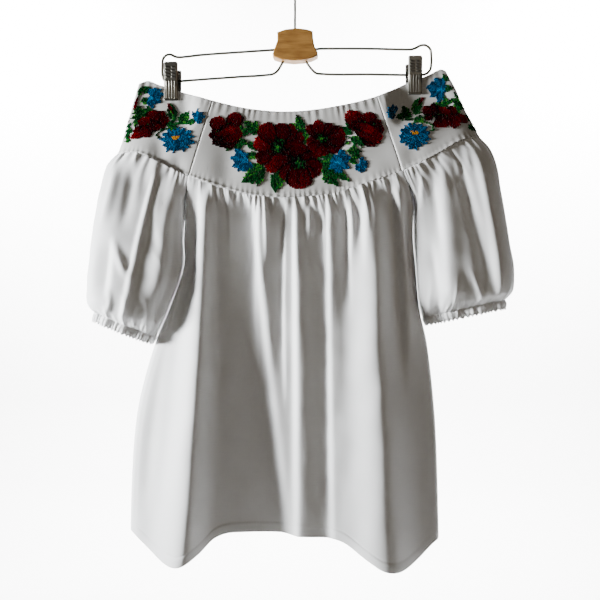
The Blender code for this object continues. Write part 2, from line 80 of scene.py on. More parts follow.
def along(rows, key, value, at):
    """A smooth value between a table's rows, by cubic pieces through its named columns."""
    keys = np.array([getattr(row, key) for row in rows], float)
    values = np.array([getattr(row, value) for row in rows], float)
    if keys[0] > keys[-1]:
        keys, values = keys[::-1], values[::-1]
    slopes = np.empty_like(values)
    slopes[1:-1] = (values[2:] - values[:-2]) / (keys[2:] - keys[:-2])
    slopes[0] = (values[1] - values[0]) / (keys[1] - keys[0])
    slopes[-1] = (values[-1] - values[-2]) / (keys[-1] - keys[-2])
    at = np.clip(at, keys[0], keys[-1])
    i = np.clip(np.searchsorted(keys, at, side="right") - 1, 0, len(keys) - 2)
    span = keys[i + 1] - keys[i]
    u = (at - keys[i]) / span
    return (
        (2 * u**3 - 3 * u**2 + 1) * values[i]
        + (u**3 - 2 * u**2 + u) * span * slopes[i]
        + (3 * u**2 - 2 * u**3) * values[i + 1]
        + (u**3 - u**2) * span * slopes[i + 1]
    )


def noise(seed):
    """A repeatable uneven number from 0 to 1 for each seed."""
    value = np.sin(np.asarray(seed, float) * 12.9898 + 4.1414) * 43758.5453
    return value - np.floor(value)


# %% [markdown]
# ## The cut of the blouse
#
# These tables repeat the part's own edges, so that the thin cloth lies on the solids that it
# stands for. The yoke's lines run from its top edge to its lower seam. The section of the whole
# garment is a flattened tube, nearly flat at the middle and turning quickly at the two ends.

# %% Tables of the main lines
SEAM = 0.6  # the gap at a seam, which the lap above it covers
BESIDE = 3.2  # from the body's side to the sleeve's inner edge, at the underarm and below
CUFF_CLEAR = 0.3  # how much farther out the sleeve's inner edge is at the cuff
SIDE_SEAM_HALF = 0.95  # half the body's depth at its side seams
LAYER_HALF = 0.95  # half the yoke's depth where a clip presses it flat
ROUNDNESS = 3.0  # 2 would make the section an ellipse, and more makes it flatter
NECK_HALF = 9.0  # half the yoke's depth at its top edge
YOKE_LOW_HALF = 26.0  # and at its lower seam
UNDERARM_Z = -330.0

Spot = namedtuple("Spot", "x z")

YokeLine = namedtuple("YokeLine", "top_x top_z low_x")
YOKE_LINES = (
    YokeLine(-203, -128, -229),
    YokeLine(-191, -124, -212),
    YokeLine(-177, -129, -197),
    YokeLine(-161, -134, -180),
    YokeLine(-106, -151, -135),
    YokeLine(-56, -162, -71),
    YokeLine(-3, -165, 0),
    YokeLine(54, -158, 71),
    YokeLine(106, -145, 137),
    YokeLine(156, -122, 190),
    YokeLine(167, -119, 203),
    YokeLine(179, -113.5, 217),
    YokeLine(189, -109, 229),
    YokeLine(196, -111, 238.5),
)
YOKE_SEAMS_X = (-106.0, 106.0)

SEAM_LINE = (
    Spot(-229, -218), Spot(-203, -218), Spot(-182, -226.5), Spot(-135, -249), Spot(-71, -270),
    Spot(-28, -276), Spot(13, -275), Spot(50, -271.5), Spot(93, -257), Spot(136, -243),
    Spot(182, -220.5), Spot(213, -202.5), Spot(238.5, -196),
)

BodyLevel = namedtuple("BodyLevel", "z left_x right_x depth")
BODY_LEVELS = (
    BodyLevel(-240, -135, 137, 26),
    BodyLevel(-283, -140, 151, 26),
    BodyLevel(-330, -144, 153, 25),
    BodyLevel(-364, -144, 156, 25),
    BodyLevel(-418, -162, 161, 25),
    BodyLevel(-464, -181, 171, 26),
    BodyLevel(-541, -202, 180, 27),
    BodyLevel(-610, -210, 184, 28),
    BodyLevel(-730, -214, 187, 30),
)

HEM_LINE = (
    Spot(-214, -704), Spot(-184, -727), Spot(-162, -740), Spot(-143, -742), Spot(-122, -729),
    Spot(-102, -711), Spot(-78, -705), Spot(31, -709), Spot(60, -714), Spot(90, -735),
    Spot(112, -748), Spot(137, -749), Spot(162, -738), Spot(187, -716),
)

SleeveLevel = namedtuple("SleeveLevel", "t outer_x outer_z inner_z depth")
LEFT_SLEEVE = (
    SleeveLevel(0.0, -229, -218, -249, 26),
    SleeveLevel(0.1, -243, -234, -272, 26),
    SleeveLevel(0.25, -251, -262, -304, 29),
    SleeveLevel(0.4, -257, -295, -334, 33),
    SleeveLevel(0.6, -264, -340, -370, 38),
    SleeveLevel(0.78, -269, -383, -404, 43),
    SleeveLevel(0.92, -268, -411, -438, 40),
    SleeveLevel(1.0, -259, -423.5, -455, 27),
)
RIGHT_SLEEVE = (
    SleeveLevel(0.0, 238.5, -196, -243, 26),
    SleeveLevel(0.1, 253, -212, -264, 26),
    SleeveLevel(0.25, 263, -243, -298, 29),
    SleeveLevel(0.4, 269, -282, -334, 33),
    SleeveLevel(0.6, 276, -328, -366, 38),
    SleeveLevel(0.78, 282, -367, -396, 42),
    SleeveLevel(0.92, 280, -395, -418, 38),
    SleeveLevel(1.0, 268, -408, -430, 26),
)

Clip = namedtuple("Clip", "name x low_z wire_z")
CLIPS = (Clip("left", -161, -150, -124.5), Clip("right", 156, -142, -116.2))
CLIP_WIDTH = 18.0
CLIP_HEIGHT = 50.0


def lens(s):
    """The half depth, 0 to 1, of a flattened tube at s, which is -1 and 1 at its two edges."""
    return np.maximum(0.0, 1 - np.abs(s) ** ROUNDNESS) ** (1 / ROUNDNESS)


def seam_z(x):
    return along(SEAM_LINE, "x", "z", x)


def body_side(side, z):
    return along(BODY_LEVELS, "z", "left_x" if side < 0 else "right_x", z)


print("yoke's top edge:", YOKE_LINES[-1].top_x - YOKE_LINES[0].top_x, "mm wide")

# %% [markdown]
# ## How cloth becomes a mesh
#
# A cloth piece is a grid of points with the outside to one side, turned into quads and given the
# thickness of light cotton. Rises are pushed out along each row's own normal, so a fold on the
# round of a sleeve stands out from the sleeve, and not simply towards the viewer.

# %% Grid, rises and thickness
CLOTH_THICK = 0.5
GRIDS = {}  # the points of every cloth piece, for the stitches


def level_normals(points, outwards, closed=None):
    """The level normal at every point of a grid; closed rows wrap round."""
    way = np.gradient(points, axis=1)
    if closed is not None:
        wrap = points[:, 1] - points[:, -2]
        way[:, 0] = np.where(closed[:, None], wrap, way[:, 0])
        way[:, -1] = np.where(closed[:, None], wrap, way[:, -1])
    normal = np.stack([way[..., 1], -way[..., 0], np.zeros(way.shape[:2])], axis=-1)
    size = np.linalg.norm(normal, axis=-1, keepdims=True)
    return outwards * normal / np.maximum(size, 1e-6)


def add_object(name, data):
    thing = bpy.data.objects.new(name, data)
    bpy.context.scene.collection.objects.link(thing)
    return thing


def many_shapes(name, corners, triangles):
    """One joined mesh of many small shapes of one kind, each with its own row of corners.

    The corners are in millimetres, and the triangles number them within one shape.
    """
    shift = corners.shape[1] * np.arange(len(corners))[:, None, None]
    data = bpy.data.meshes.new(name)
    data.from_pydata(
        (corners.reshape(-1, 3) * MM).tolist(), [], (triangles + shift).reshape(-1, 3).tolist()
    )
    return add_object(name, data)


def cloth(name, points, closed=None, thick=CLOTH_THICK):
    """A mesh object from a grid of points in millimetres; the ends of closed rows are joined."""
    GRIDS[name.removesuffix("_cloth")] = points
    rows, columns = points.shape[:2]
    index = np.arange(rows * columns).reshape(rows, columns)
    if closed is not None:
        index[:, -1] = np.where(closed, index[:, 0], index[:, -1])
    quads = np.stack([index[:-1, :-1], index[1:, :-1], index[1:, 1:], index[:-1, 1:]], axis=-1)
    used, compact = np.unique(quads, return_inverse=True)
    flat = points.reshape(-1, 3)[used] * MM
    data = bpy.data.meshes.new(name)
    data.from_pydata(flat.tolist(), [], compact.reshape(-1, 4).tolist())
    data.shade_smooth()
    thing = add_object(name, data)
    solid = thing.modifiers.new("thickness", "SOLIDIFY")
    solid.thickness = thick * MM
    solid.offset = 0.0
    return thing


def surface_area(points):
    """Square metres of a grid that is given in millimetres."""
    across = points[:-1, 1:] - points[:-1, :-1]
    down = points[1:, :-1] - points[:-1, :-1]
    return float(np.linalg.norm(np.cross(across, down), axis=-1).sum()) * MM * MM


def print_areas(pieces):
    for name, (panel, area) in pieces.items():
        print(name, "area", round(area, 4), "square metres")


print("cloth is", CLOTH_THICK, "mm thick")

# %% [markdown]
# ## The yoke
#
# The yoke is a band of four panels, two at the middle and one over each shoulder. Where a clip
# bites, both layers are pressed flat together, and the cloth opens out again round it. The turned
# edge at the neck puckers a little between its stitches, and each seam shows as a fine groove,
# because the two panels roll inwards where they are sewn.

# %% Yoke panels
YOKE_ROWS = 64
MIDDLE_COLUMNS = 170
SHOULDER_COLUMNS = 70  # on each face
YOKE_LONG = YOKE_LINES[-1].top_x - YOKE_LINES[0].top_x
YOKE_DEEP = 112.0  # from the neck's edge to the lower seam
PANEL_GAP = 0.03  # from a panel's edge to the seam's middle
PUCKERS = 46  # round the front of the neck
PUCKER_DEEP = 0.45
PUCKER_REACH = 15.0  # down from the neck's edge
GROOVE_DEEP = 0.18  # at the seams between the panels
GROOVE_REACH = 1.6
PRESSED_FLAT = CLIP_WIDTH / 2 + 8  # from a clip's middle, sideways
PRESSED_REACH = 24.0  # from there to where the yoke is open again
PRESSED_OUTSIDE = 0.55  # towards the shoulder's fold the cloth stays flat for longer
LAP = 1.4  # how far the yoke's lower edge laps over the gathers

# Shallow hollows where the loose cloth sinks between its seams: place, reach and depth
Dent = namedtuple("Dent", "x z across down deep")
DENTS = (
    Dent(-86, -240, 18, 27, 2.8),
    Dent(-173, -219, 12, 22, 2.4),
    Dent(-150, -236, 9, 14, 1.5),
    Dent(150, -223, 14, 20, 2.2),
    Dent(128, -240, 18, 16, 1.8),
)


def yoke_half(x, t):
    """The yoke's half depth before the clips pinch it."""
    first, last = YOKE_LINES[0], YOKE_LINES[-1]
    left = mix(first.top_x, first.low_x, t)
    right = mix(last.top_x, last.low_x, t)
    return mix(NECK_HALF, YOKE_LOW_HALF, t) * lens(2 * (x - left) / (right - left) - 1)


def pinch(x, z):
    """1 where a clip presses the two layers together, falling to 0 round it."""
    most = np.zeros(np.broadcast(x, z).shape)
    for clip in CLIPS:
        away = np.abs(x - clip.x) * np.where(np.abs(x) > abs(clip.x), PRESSED_OUTSIDE, 1.0)
        aside = np.maximum(0.0, away - PRESSED_FLAT)
        below = np.maximum(0.0, clip.low_z - 8 - z)
        most = np.maximum(most, 1 - ease(np.hypot(aside, 0.6 * below) / PRESSED_REACH))
    return most


def yoke_place(top_x, t):
    """Where a spot of the yoke hangs; t goes from 0 at its top edge to 1 at its lower seam."""
    low_x = along(YOKE_LINES, "top_x", "low_x", top_x)
    top_z = along(YOKE_LINES, "top_x", "top_z", top_x)
    return mix(top_x, low_x, t), mix(top_z, seam_z(low_x), t)


def yoke_points(top_x, t, face):
    """Points of the yoke; face is -1 on the front and 1 on the back."""
    top_x, t = np.broadcast_arrays(np.asarray(top_x, float), np.asarray(t, float))
    x, z = yoke_place(top_x, t)
    half = mix(yoke_half(x, t), LAYER_HALF, pinch(x, z))
    first, last = YOKE_LINES[0].top_x, YOKE_LINES[-1].top_x
    edge = np.minimum(top_x - first, last - top_x)
    half = half * ease(edge / 0.8)
    return np.stack([x, face * half, z], axis=-1)


def yoke_relief(top_x, t, run, ends):
    """Puckers at the neck, rolled edges at the ends of a run, dents and the lower edge's lap."""
    down = t * YOKE_DEEP
    wave = np.cos(top_x / YOKE_LONG * 2 * pi * PUCKERS + 1.6 * np.sin(top_x * 0.11))
    held = 0.25 + 0.75 * noise(np.floor(top_x / 17.0))
    rise = PUCKER_DEEP * held * wave * hump(down, PUCKER_REACH)
    for end in ends:
        rise = rise - GROOVE_DEEP * hump(run - end, GROOVE_REACH)
    x, z = yoke_place(top_x, t)
    for dent in DENTS:
        away = ((x - dent.x) / dent.across) ** 2 + ((z - dent.z) / dent.down) ** 2
        rise = rise - dent.deep * np.exp(-away)
    soft = 1.3 * np.sin(top_x * 0.052 + 2.1 * t) * np.sin(t * 7.0 + top_x * 0.017)
    drawn_up = np.sin(top_x * 1.1 + 2 * np.sin(top_x * 0.13)) * hump((1 - t) * YOKE_DEEP, 6)
    return rise + soft * ease(t * 3) + 0.35 * drawn_up + 0.7 * ease((t - 0.965) / 0.02)


def yoke_panel(name, stations, faces):
    """A panel through stations along the yoke, each with its face."""
    t = np.concatenate([np.linspace(0, 0.1, 10)[:-1], np.linspace(0.1, 1.0, YOKE_ROWS)])[:, None]
    points = np.where(
        faces[None, :, None] < 0,
        yoke_points(stations[None, :], t, -1),
        yoke_points(stations[None, :], t, 1),
    )
    run = np.concatenate([[0], np.cumsum(np.linalg.norm(np.diff(points[0], axis=0), axis=-1))])
    rise = yoke_relief(stations[None, :], t, run[None, :], (run[0], run[-1]))
    way = np.sign(stations[1] - stations[0]) * faces[0]
    moved = points + level_normals(points, -way) * rise[..., None]
    moved[:, :, 2] -= LAP * ease((t - 0.9) / 0.1)
    return cloth(name + "_cloth", moved), surface_area(moved)


def build_yoke():
    panels = {}
    left_seam, right_seam = YOKE_SEAMS_X
    middle = np.linspace(left_seam + PANEL_GAP, right_seam - PANEL_GAP, MIDDLE_COLUMNS)
    for name, face in (("yoke_front", -1), ("yoke_back", 1)):
        panels[name] = yoke_panel(name, middle, np.full(len(middle), face))
    for name, seam, fold in (
        ("yoke_left", left_seam - PANEL_GAP, YOKE_LINES[0].top_x),
        ("yoke_right", right_seam + PANEL_GAP, YOKE_LINES[-1].top_x),
    ):
        share = np.sin(np.linspace(0, pi / 2, SHOULDER_COLUMNS))
        stations = mix(seam, fold, np.concatenate([share, share[-2::-1]]))
        faces = np.concatenate([np.full(len(share), -1), np.full(len(share) - 1, 1)])
        panels[name] = yoke_panel(name, stations, faces)
    return panels


yoke = build_yoke()
print_areas(yoke)

# %% [markdown]
# ## The gathered body
#
# The body's cloth is cut wider than the seam that it is sewn to, and a gathering thread draws it
# up. Right under the seam there are some forty narrow pleats, and most of them end within a hand's
# breadth. Eight or so long folds reach the hem, and the two fullest end in its lobes at the sides.
# Each fold is a row of the table: its path, its width and its rise at the top and the bottom, the
# length over which its lower end fades, and how far it leans, which makes one flank steep.

# %% Folds and gathers of the body
BODY_COLUMNS = 300
BODY_ROWS = 118
HEM_TURN = 13.0  # from the hem's edge to its stitch line
HEM_STARTS = 0.965  # the share of the body's length from which its rows lie closer
HEM_ROWS = 16
BODY_GATHERS = 46
BODY_OPENS = 90.0  # below the seam, where the body has come to its own depth
CRUMPLE_STARTS = 60.0  # below the seam, where the cloth's unevenness has its full strength
SIDE_SEAM_IN = 7.0  # from a side edge to the groove beside its seam
FOLD_STARTS = 40.0  # below its top, where a fold has come to its full rise

Fold = namedtuple(
    "Fold", "top_x mid_x low_x top_z low_z top_width low_width top_rise low_rise fade lean"
)
FRONT_FOLDS = (
    Fold(-113, -124, -141, -256, -748, 9, 29, 7, 31, 0, -0.2),
    Fold(-116, -118, -118, -262, -440, 12, 20, 5, 4, 80, 0.8),
    Fold(-62, -45, -22, -265, -708, 14, 33, -6, -12, 0, -0.62),
    Fold(-85, -80, -78, -266, -300, 3, 5, 5, 2, 20, 0.4),
    Fold(-44, -46, -42, -270, -540, 6, 12, 5, 3, 150, 0.3),
    Fold(-38, -35, -34, -274, -380, 4, 9, 4, 3, 60, 0.4),
    Fold(-14, -18, -16, -275, -560, 4, 9, -3, -3, 70, -0.5),
    Fold(1, 6, 8, -274, -712, 6, 18, 6, 9, 0, 0.5),
    Fold(18, 19, 18, -276, -350, 3, 7, 5, 3, 40, -0.2),
    Fold(32, 37, 38, -276, -700, 5, 12, -1.5, -1, 60, -0.6),
    Fold(44, 49, 54, -272, -712, 6, 17, 4.5, 5, 0, 0.5),
    Fold(62, 66, 68, -270, -440, 4, 8, -3, -1, 70, -0.4),
    Fold(70, 73, 71, -266, -380, 4, 7, 5, 3, 60, 0.3),
    Fold(102, 105, 116, -260, -750, 16, 39, 10, 31, 0, -0.1),
    Fold(88, 90, 92, -255, -380, 4, 8, 3, 3, 60, 0.3),
    Fold(120, 130, 138, -250, -560, 8, 18, -5, -5, 90, -0.55),
    Fold(130, 142, 150, -250, -500, 5, 11, 9, 9, 80, 0.1),
    Fold(-160, -184, -196, -420, -700, 8, 14, -2, -4, 60, 0.0),
    Fold(160, 170, 181, -400, -760, 10, 34, 0, -15, 0, -0.4),
)
BACK_FOLDS = (
    Fold(-112, -140, -156, -256, -740, 7, 25, 5, 24, 0, 0.1),
    Fold(-96, -120, -122, -262, -500, 4, 8, 4, 3, 60, -0.3),
    Fold(-84, -98, -100, -265, -716, 7, 20, -5, -12, 0, 0.2),
    Fold(-66, -70, -74, -270, -420, 4, 8, 4, 3, 60, 0.3),
    Fold(-46, -38, -50, -270, -704, 6, 17, 6, 12, 0, 0.4),
    Fold(-20, -12, -22, -275, -600, 4, 9, -4, -5, 70, 0.0),
    Fold(4, 12, 2, -275, -640, 5, 15, 6, 10, 80, -0.4),
    Fold(26, 26, 24, -274, -440, 4, 8, 3, 3, 60, 0.3),
    Fold(44, 38, 52, -272, -712, 6, 19, 6, 13, 0, -0.3),
    Fold(78, 88, 82, -262, -728, 6, 17, -5, -12, 0, 0.0),
    Fold(110, 124, 132, -250, -746, 8, 27, 5, 25, 0, 0.3),
    Fold(128, 146, 160, -250, -560, 5, 10, 4, 6, 60, 0.3),
)


def fold_rise(folds, x, z):
    """How far the folds lift the cloth; a leaning fold has one narrow flank and one wide."""
    total = np.zeros(np.broadcast(x, z).shape)
    for fold in folds:
        down = np.clip((fold.top_z - z) / (fold.top_z - fold.low_z), 0.0, 1.0)
        early = mix(fold.top_x, fold.mid_x, down)
        middle = mix(early, mix(fold.mid_x, fold.low_x, down), down)
        centre = middle + (2 * fold.mid_x - fold.top_x - fold.low_x) * down * (1 - down)
        aside = x - centre
        width = mix(fold.top_width, fold.low_width, down)
        width = width * (1 + fold.lean * np.tanh(aside / (2 + 0.3 * width)))
        rise = mix(fold.top_rise, fold.low_rise, down)
        strength = ease((fold.top_z - z) / FOLD_STARTS)
        if fold.fade:
            strength = strength * (1 - ease((fold.low_z + fold.fade - z) / fold.fade))
        total += rise * strength * hump(aside, width)
    return total


def gathers(run, below, count, seed, reach=1.0):
    """Narrow pleats that leave a seam: each has its own place, length, width and height.

    run goes from 0 to 1 along the seam, and below is the distance from it in millimetres. Most
    pleats are short dimples, and a few run on for a hand's breadth.
    """
    total = np.zeros(np.broadcast(run, below).shape)
    for i in range(count):
        uneven = noise(seed + i * np.array([1.0, 2.3, 3.7, 5.1, 7.9, 9.7]))
        centre = (i + 0.9 * uneven[0]) / count
        length = reach * mix(11, 80, uneven[1] ** 3)
        drift = (uneven[2] - 0.5) * 1.3 / count
        spread = mix(0.16, 0.36, uneven[3]) / count
        rise = mix(0.8, 2.4, uneven[4]) * (1 if uneven[5] < 0.6 else -0.8)
        down = below / length
        wide = spread * (1 + 1.1 * down)
        strength = (0.45 + 0.55 * ease(below / 5)) * hump(down * 0.9)
        total += rise * strength * hump(run - centre - drift * down, wide)
    return total


def crumple(x, z, seed):
    """The faint, wide unevenness of cloth that has been worn and washed."""
    return 0.5 * np.sin(x * 0.061 + 2.2 * np.sin(z * 0.023 + seed)) * np.sin(
        z * 0.047 + 1.7 * np.sin(x * 0.031 + 2 * seed)
    ) + 0.25 * np.sin(x * 0.15 + z * 0.06 + seed) * np.sin(z * 0.11 - x * 0.04)


def crease_at(top, z):
    """How deeply the armhole's valley has closed: 0 at the yoke seam, 1 from the underarm down."""
    return ease((top - z) / (top - UNDERARM_Z))


def body_panel(name, face, folds, seed):
    left_top, right_top = BODY_LEVELS[0].left_x, BODY_LEVELS[0].right_x
    left_hem, right_hem = HEM_LINE[0], HEM_LINE[-1]
    q = np.linspace(0, 1, BODY_COLUMNS + 1)[None, :]
    long_part = HEM_STARTS * np.linspace(0, 1, BODY_ROWS) ** 1.45
    t = np.concatenate([long_part, np.linspace(HEM_STARTS, 1, HEM_ROWS)[1:]])[:, None]
    left = body_side(-1, mix(seam_z(left_top) - SEAM, left_hem.z, t))
    right = body_side(1, mix(seam_z(right_top) - SEAM, right_hem.z, t))
    s = 2 * q - 1
    x = mix(left, right, q)
    start_x = mix(left_top, right_top, q)
    top = seam_z(start_x) - SEAM
    hem = along(HEM_LINE, "x", "z", mix(left_hem.x, right_hem.x, q))
    z = mix(top, hem, t)
    depth = along(BODY_LEVELS, "z", "depth", z)
    base = mix(yoke_half(start_x, 1.0), depth, ease((top - z) / BODY_OPENS))
    base = base * (1 - crease_at(top, z) * (1 - lens(s)))
    y = face * np.maximum(base, SIDE_SEAM_HALF)
    points = np.stack([x, y, z], axis=-1)
    fade = 1 - np.abs(s) ** 10
    below = top - z
    rise = fold_rise(folds, x, z) + gathers(q, below, BODY_GATHERS, seed)
    rise += crumple(x, z, seed) * ease(below / CRUMPLE_STARTS)
    above = z - hem
    rise += 0.5 * np.exp(-(((above - HEM_TURN / 2) / (HEM_TURN / 2)) ** 4))
    rise -= 0.45 * hump(above - HEM_TURN, 1.3)
    from_left, from_right = x - left - SIDE_SEAM_IN, right - SIDE_SEAM_IN - x
    seam = hump(from_left, GROOVE_REACH) + hump(from_right, GROOVE_REACH)
    rise -= 0.8 * seam * ease((UNDERARM_Z - z) / 40)
    moved = points + level_normals(points, -face) * (rise * fade)[..., None]
    return cloth(name + "_cloth", moved), surface_area(moved)


body = {
    "body_front": body_panel("body_front", -1, FRONT_FOLDS, 3.1),
    "body_back": body_panel("body_back", 1, BACK_FOLDS, 8.7),
}
print_areas(body)

# %% [markdown]
# ## The puff sleeves and their cuffs
#
# Each sleeve is a tube that is gathered twice, into the yoke's seam above and onto the elastic
# below, and left full between. Its inner edge follows the body's side and closes against it at the
# underarm. Near the cuff the pleats are short and crowded, and a few long ones climb up the puff.

# %% Sleeves
SLEEVE_COLUMNS = 216
SLEEVE_ROWS = 104
SLEEVE_GATHERS = 38
CUFF_HEIGHT = 11.0
CUFF_GATHERS = 52
OVERHANG = 4.0  # how far a sleeve's side swells over the body's edge

LEFT_SLEEVE_FRONT = (
    Fold(-173, -197, -216, -226, -440, 4, 7, 3, 3.5, 0, 0.3),
    Fold(-225, -235, -247, -218, -320, 5, 7, 2.5, 3, 30, 0.2),
    Fold(-236, -240, -246, -322, -412, 10, 15, -5, -7, 25, -0.5),
    Fold(-152, -165, -174, -240, -424, 9, 19, 3, 7, 40, 0.2),
    Fold(-232, -222, -208, -322, -388, 5, 6, 3, 3, 25, 0.0),
    Fold(-208, -212, -222, -228, -330, 6, 8, -2, -2, 40, 0.0),
    Fold(-158, -174, -165, -240, -350, 7, 10, 2, 2.5, 30, 0.3),
    Fold(-196, -185, -196, -398, -456, 4, 5, 3, 3, 0, 0.0),
    Fold(-240, -233, -240, -386, -428, 4, 4, 2.5, 3, 0, 0.0),
    Fold(-222, -214, -222, -392, -436, 4, 4, 2.5, 2.5, 0, 0.0),
    Fold(-184, -176, -160, -334, -372, 3, 4, 1, 1, 18, 0.0),
    Fold(-176, -168, -158, -350, -390, 3, 4, 1, 1, 18, 0.0),
    Fold(-150, -152, -150, -262, -330, 4, 5, 2, 1, 30, 0.0),
)
LEFT_SLEEVE_BACK = (
    Fold(-166, -184, -206, -232, -446, 7, 10, 3, 4.5, 0, 0.2),
    Fold(-206, -224, -236, -222, -400, 6, 9, 3, 3.5, 50, 0.3),
    Fold(-188, -203, -222, -228, -420, 6, 9, -2.5, -3, 50, 0.0),
    Fold(-184, -176, -172, -380, -448, 4, 5, 2.5, 2.5, 0, 0.0),
    Fold(-246, -240, -236, -380, -430, 4, 5, 2.5, 2.5, 0, 0.0),
)
RIGHT_SLEEVE_FRONT = (
    Fold(161, 164, 170, -236, -400, 3, 5, 2, 2.5, 40, 0.3),
    Fold(174, 179, 184, -236, -350, 5, 8, -2, -2, 40, -0.3),
    Fold(190, 193, 199, -220, -415, 9, 13, 3.5, 5, 20, 0.3),
    Fold(206, 228, 247, -226, -400, 6, 12, -3, -5, 30, 0.0),
    Fold(229, 250, 261, -212, -412, 7, 10, 3, 4.5, 0, 0.3),
    Fold(213, 213, 218, -366, -432, 4, 6, -2.5, -2.5, 0, 0.0),
    Fold(220, 230, 240, -362, -420, 4, 5, 3, 3, 0, 0.0),
    Fold(172, 178, 186, -330, -438, 6, 8, -2.5, -3, 0, 0.0),
    Fold(206, 208, 212, -214, -262, 3, 4, 2, 1, 20, 0.0),
    Fold(218, 221, 228, -208, -250, 3, 4, 2, 1, 20, 0.0),
)
RIGHT_SLEEVE_BACK = (
    Fold(172, 184, 196, -236, -436, 7, 10, 3, 4.5, 0, 0.2),
    Fold(214, 232, 244, -212, -390, 6, 10, 3, 4.5, 50, 0.3),
    Fold(193, 208, 224, -222, -410, 6, 9, -2.5, -3, 50, 0.0),
    Fold(252, 250, 246, -370, -412, 4, 5, 2.5, 2.5, 0, 0.0),
)


def build_sleeve(name, levels, front_folds, back_folds, seed):
    """A tube round which s goes from 1 at the body to -1 at the outer edge and back."""
    side = 1 if levels[0].outer_x > 0 else -1
    top = levels[0]
    top_inner_x = BODY_LEVELS[0].right_x if side > 0 else BODY_LEVELS[0].left_x
    # Its rows lie closer at the two gathered ends
    steps = ((0, 0.2, 26), (0.2, 0.8, SLEEVE_ROWS - 50), (0.8, 1.0, 28))
    t = np.concatenate([np.linspace(*step)[:-1] for step in steps] + [[1.0]])[:, None]
    turn = np.linspace(0, 2 * pi, SLEEVE_COLUMNS + 1)[None, :]
    s = np.cos(turn)
    q = (s + 1) / 2
    face = np.where(turn <= pi, -1.0, 1.0)

    # Its two edges as they hang, and what lies between them
    outer_x, outer_z, inner_z = (
        along(levels, "t", column, t) for column in ("outer_x", "outer_z", "inner_z")
    )
    crease = crease_at(top.inner_z, inner_z)
    clear = mix(SEAM, BESIDE, np.minimum(1, 3 * crease)) + CUFF_CLEAR * t**3
    inner_x = body_side(side, inner_z) + side * clear
    x = mix(outer_x, inner_x, q)
    top_x = mix(top.outer_x, top_inner_x + side * SEAM, q)
    straight = mix(top.outer_z, top.inner_z, q)
    z = mix(outer_z, inner_z, q) + (seam_z(top_x) - SEAM - straight) * (1 - ease(t / 0.35))

    # Its depth: the yoke's at the seam, and then its own, which closes against the body
    inside = np.where(s > 0, crease, 0.0)
    own = along(levels, "t", "depth", t) * (1 - np.where(s > 0, crease, 1.0) * (1 - lens(s)))
    base = mix(yoke_half(top_x, 1.0) * (1 - inside * (1 - lens(s))), own, ease(t / 0.3))

    # Beside the body it swells over the body's edge
    over = OVERHANG * mix(0.9, 2.0, ease(t / 0.8)) * hump(s - 0.92, 0.06)
    over = over * crease * (1 - 0.6 * ease((t - 0.88) / 0.12))
    points = np.stack([x - side * over, face * base, z], axis=-1)
    closed = (crease >= 1)[:, 0]

    # Its folds and gathers, which fade where it meets the body
    fade = np.where(s > 0, 1 - np.abs(s) ** 10, 1.0)
    below = seam_z(top_x) - z
    above_cuff = (1 - t) * (top.inner_z - levels[-1].inner_z)
    around = turn / (2 * pi)
    rise = np.where(face < 0, fold_rise(front_folds, x, z), fold_rise(back_folds, x, z))
    lower = ease(t * 1.6)
    from_yoke = 0.75 * gathers(around, below, SLEEVE_GATHERS, seed) * (1 - lower)
    from_cuff = 1.4 * gathers(around, above_cuff, CUFF_GATHERS, seed + 40, 0.5) * lower
    rise = rise + from_yoke + crumple(x, z, seed) + from_cuff
    moved = points + level_normals(points, side, closed) * (rise * fade)[..., None]
    if closed[-1]:
        moved[closed, -1] = moved[closed, 0]
    return cloth(name + "_cloth", moved, closed), surface_area(moved), moved[-1]


def build_cuff(name, levels, ring, seed):
    """The elastic casing: a narrow puffed band, drawn up into close gathers."""
    last = levels[-1]
    side = 1 if last.outer_x > 0 else -1
    inner_x = body_side(side, last.inner_z)
    across = np.array([last.outer_x - inner_x, 0.0, last.outer_z - last.inner_z])
    across = across / np.linalg.norm(across)
    down = np.array([across[2], 0.0, -across[0]]) * side
    turn = np.linspace(0, 2 * pi, SLEEVE_COLUMNS + 1)[None, :]
    share = np.linspace(0, 1, 15)[:, None]
    centre = ring[:-1].mean(axis=0)
    tight = (1 - 0.03 * share)[..., None]
    lowered = (share * (CUFF_HEIGHT + SEAM))[..., None] * down
    points = centre + (ring[None] - centre) * tight + lowered
    closed = np.full(len(share), True)
    wander = 1.1 * np.sin(turn * 5 + seed) + 0.8 * np.sin(turn * 13 + share * 3)
    wave = np.cos(turn * CUFF_GATHERS + wander)
    puff = 1.1 * np.sin(pi * share)
    rise = 0.7 * wave * (0.65 + 0.35 * np.sin(turn * 7 + seed)) + puff
    rise = rise - 0.6 * hump(share - 0.12, 0.07) - 0.5 * hump(share - 0.86, 0.06)
    moved = points + level_normals(points, side, closed) * rise[..., None]
    moved = moved + (1.3 * wave * share**3)[..., None] * down
    moved[:, -1] = moved[:, 0]
    return cloth(name + "_cloth", moved, closed), surface_area(moved)


sleeves, cuffs = {}, {}
for word, levels, front_folds, back_folds, seed in (
    ("left", LEFT_SLEEVE, LEFT_SLEEVE_FRONT, LEFT_SLEEVE_BACK, 21.3),
    ("right", RIGHT_SLEEVE, RIGHT_SLEEVE_FRONT, RIGHT_SLEEVE_BACK, 33.9),
):
    *sleeves["sleeve_" + word], ring = build_sleeve(
        "sleeve_" + word, levels, front_folds, back_folds, seed
    )
    cuffs["cuff_" + word] = build_cuff("cuff_" + word, levels, ring, seed)
print_areas({**sleeves, **cuffs})
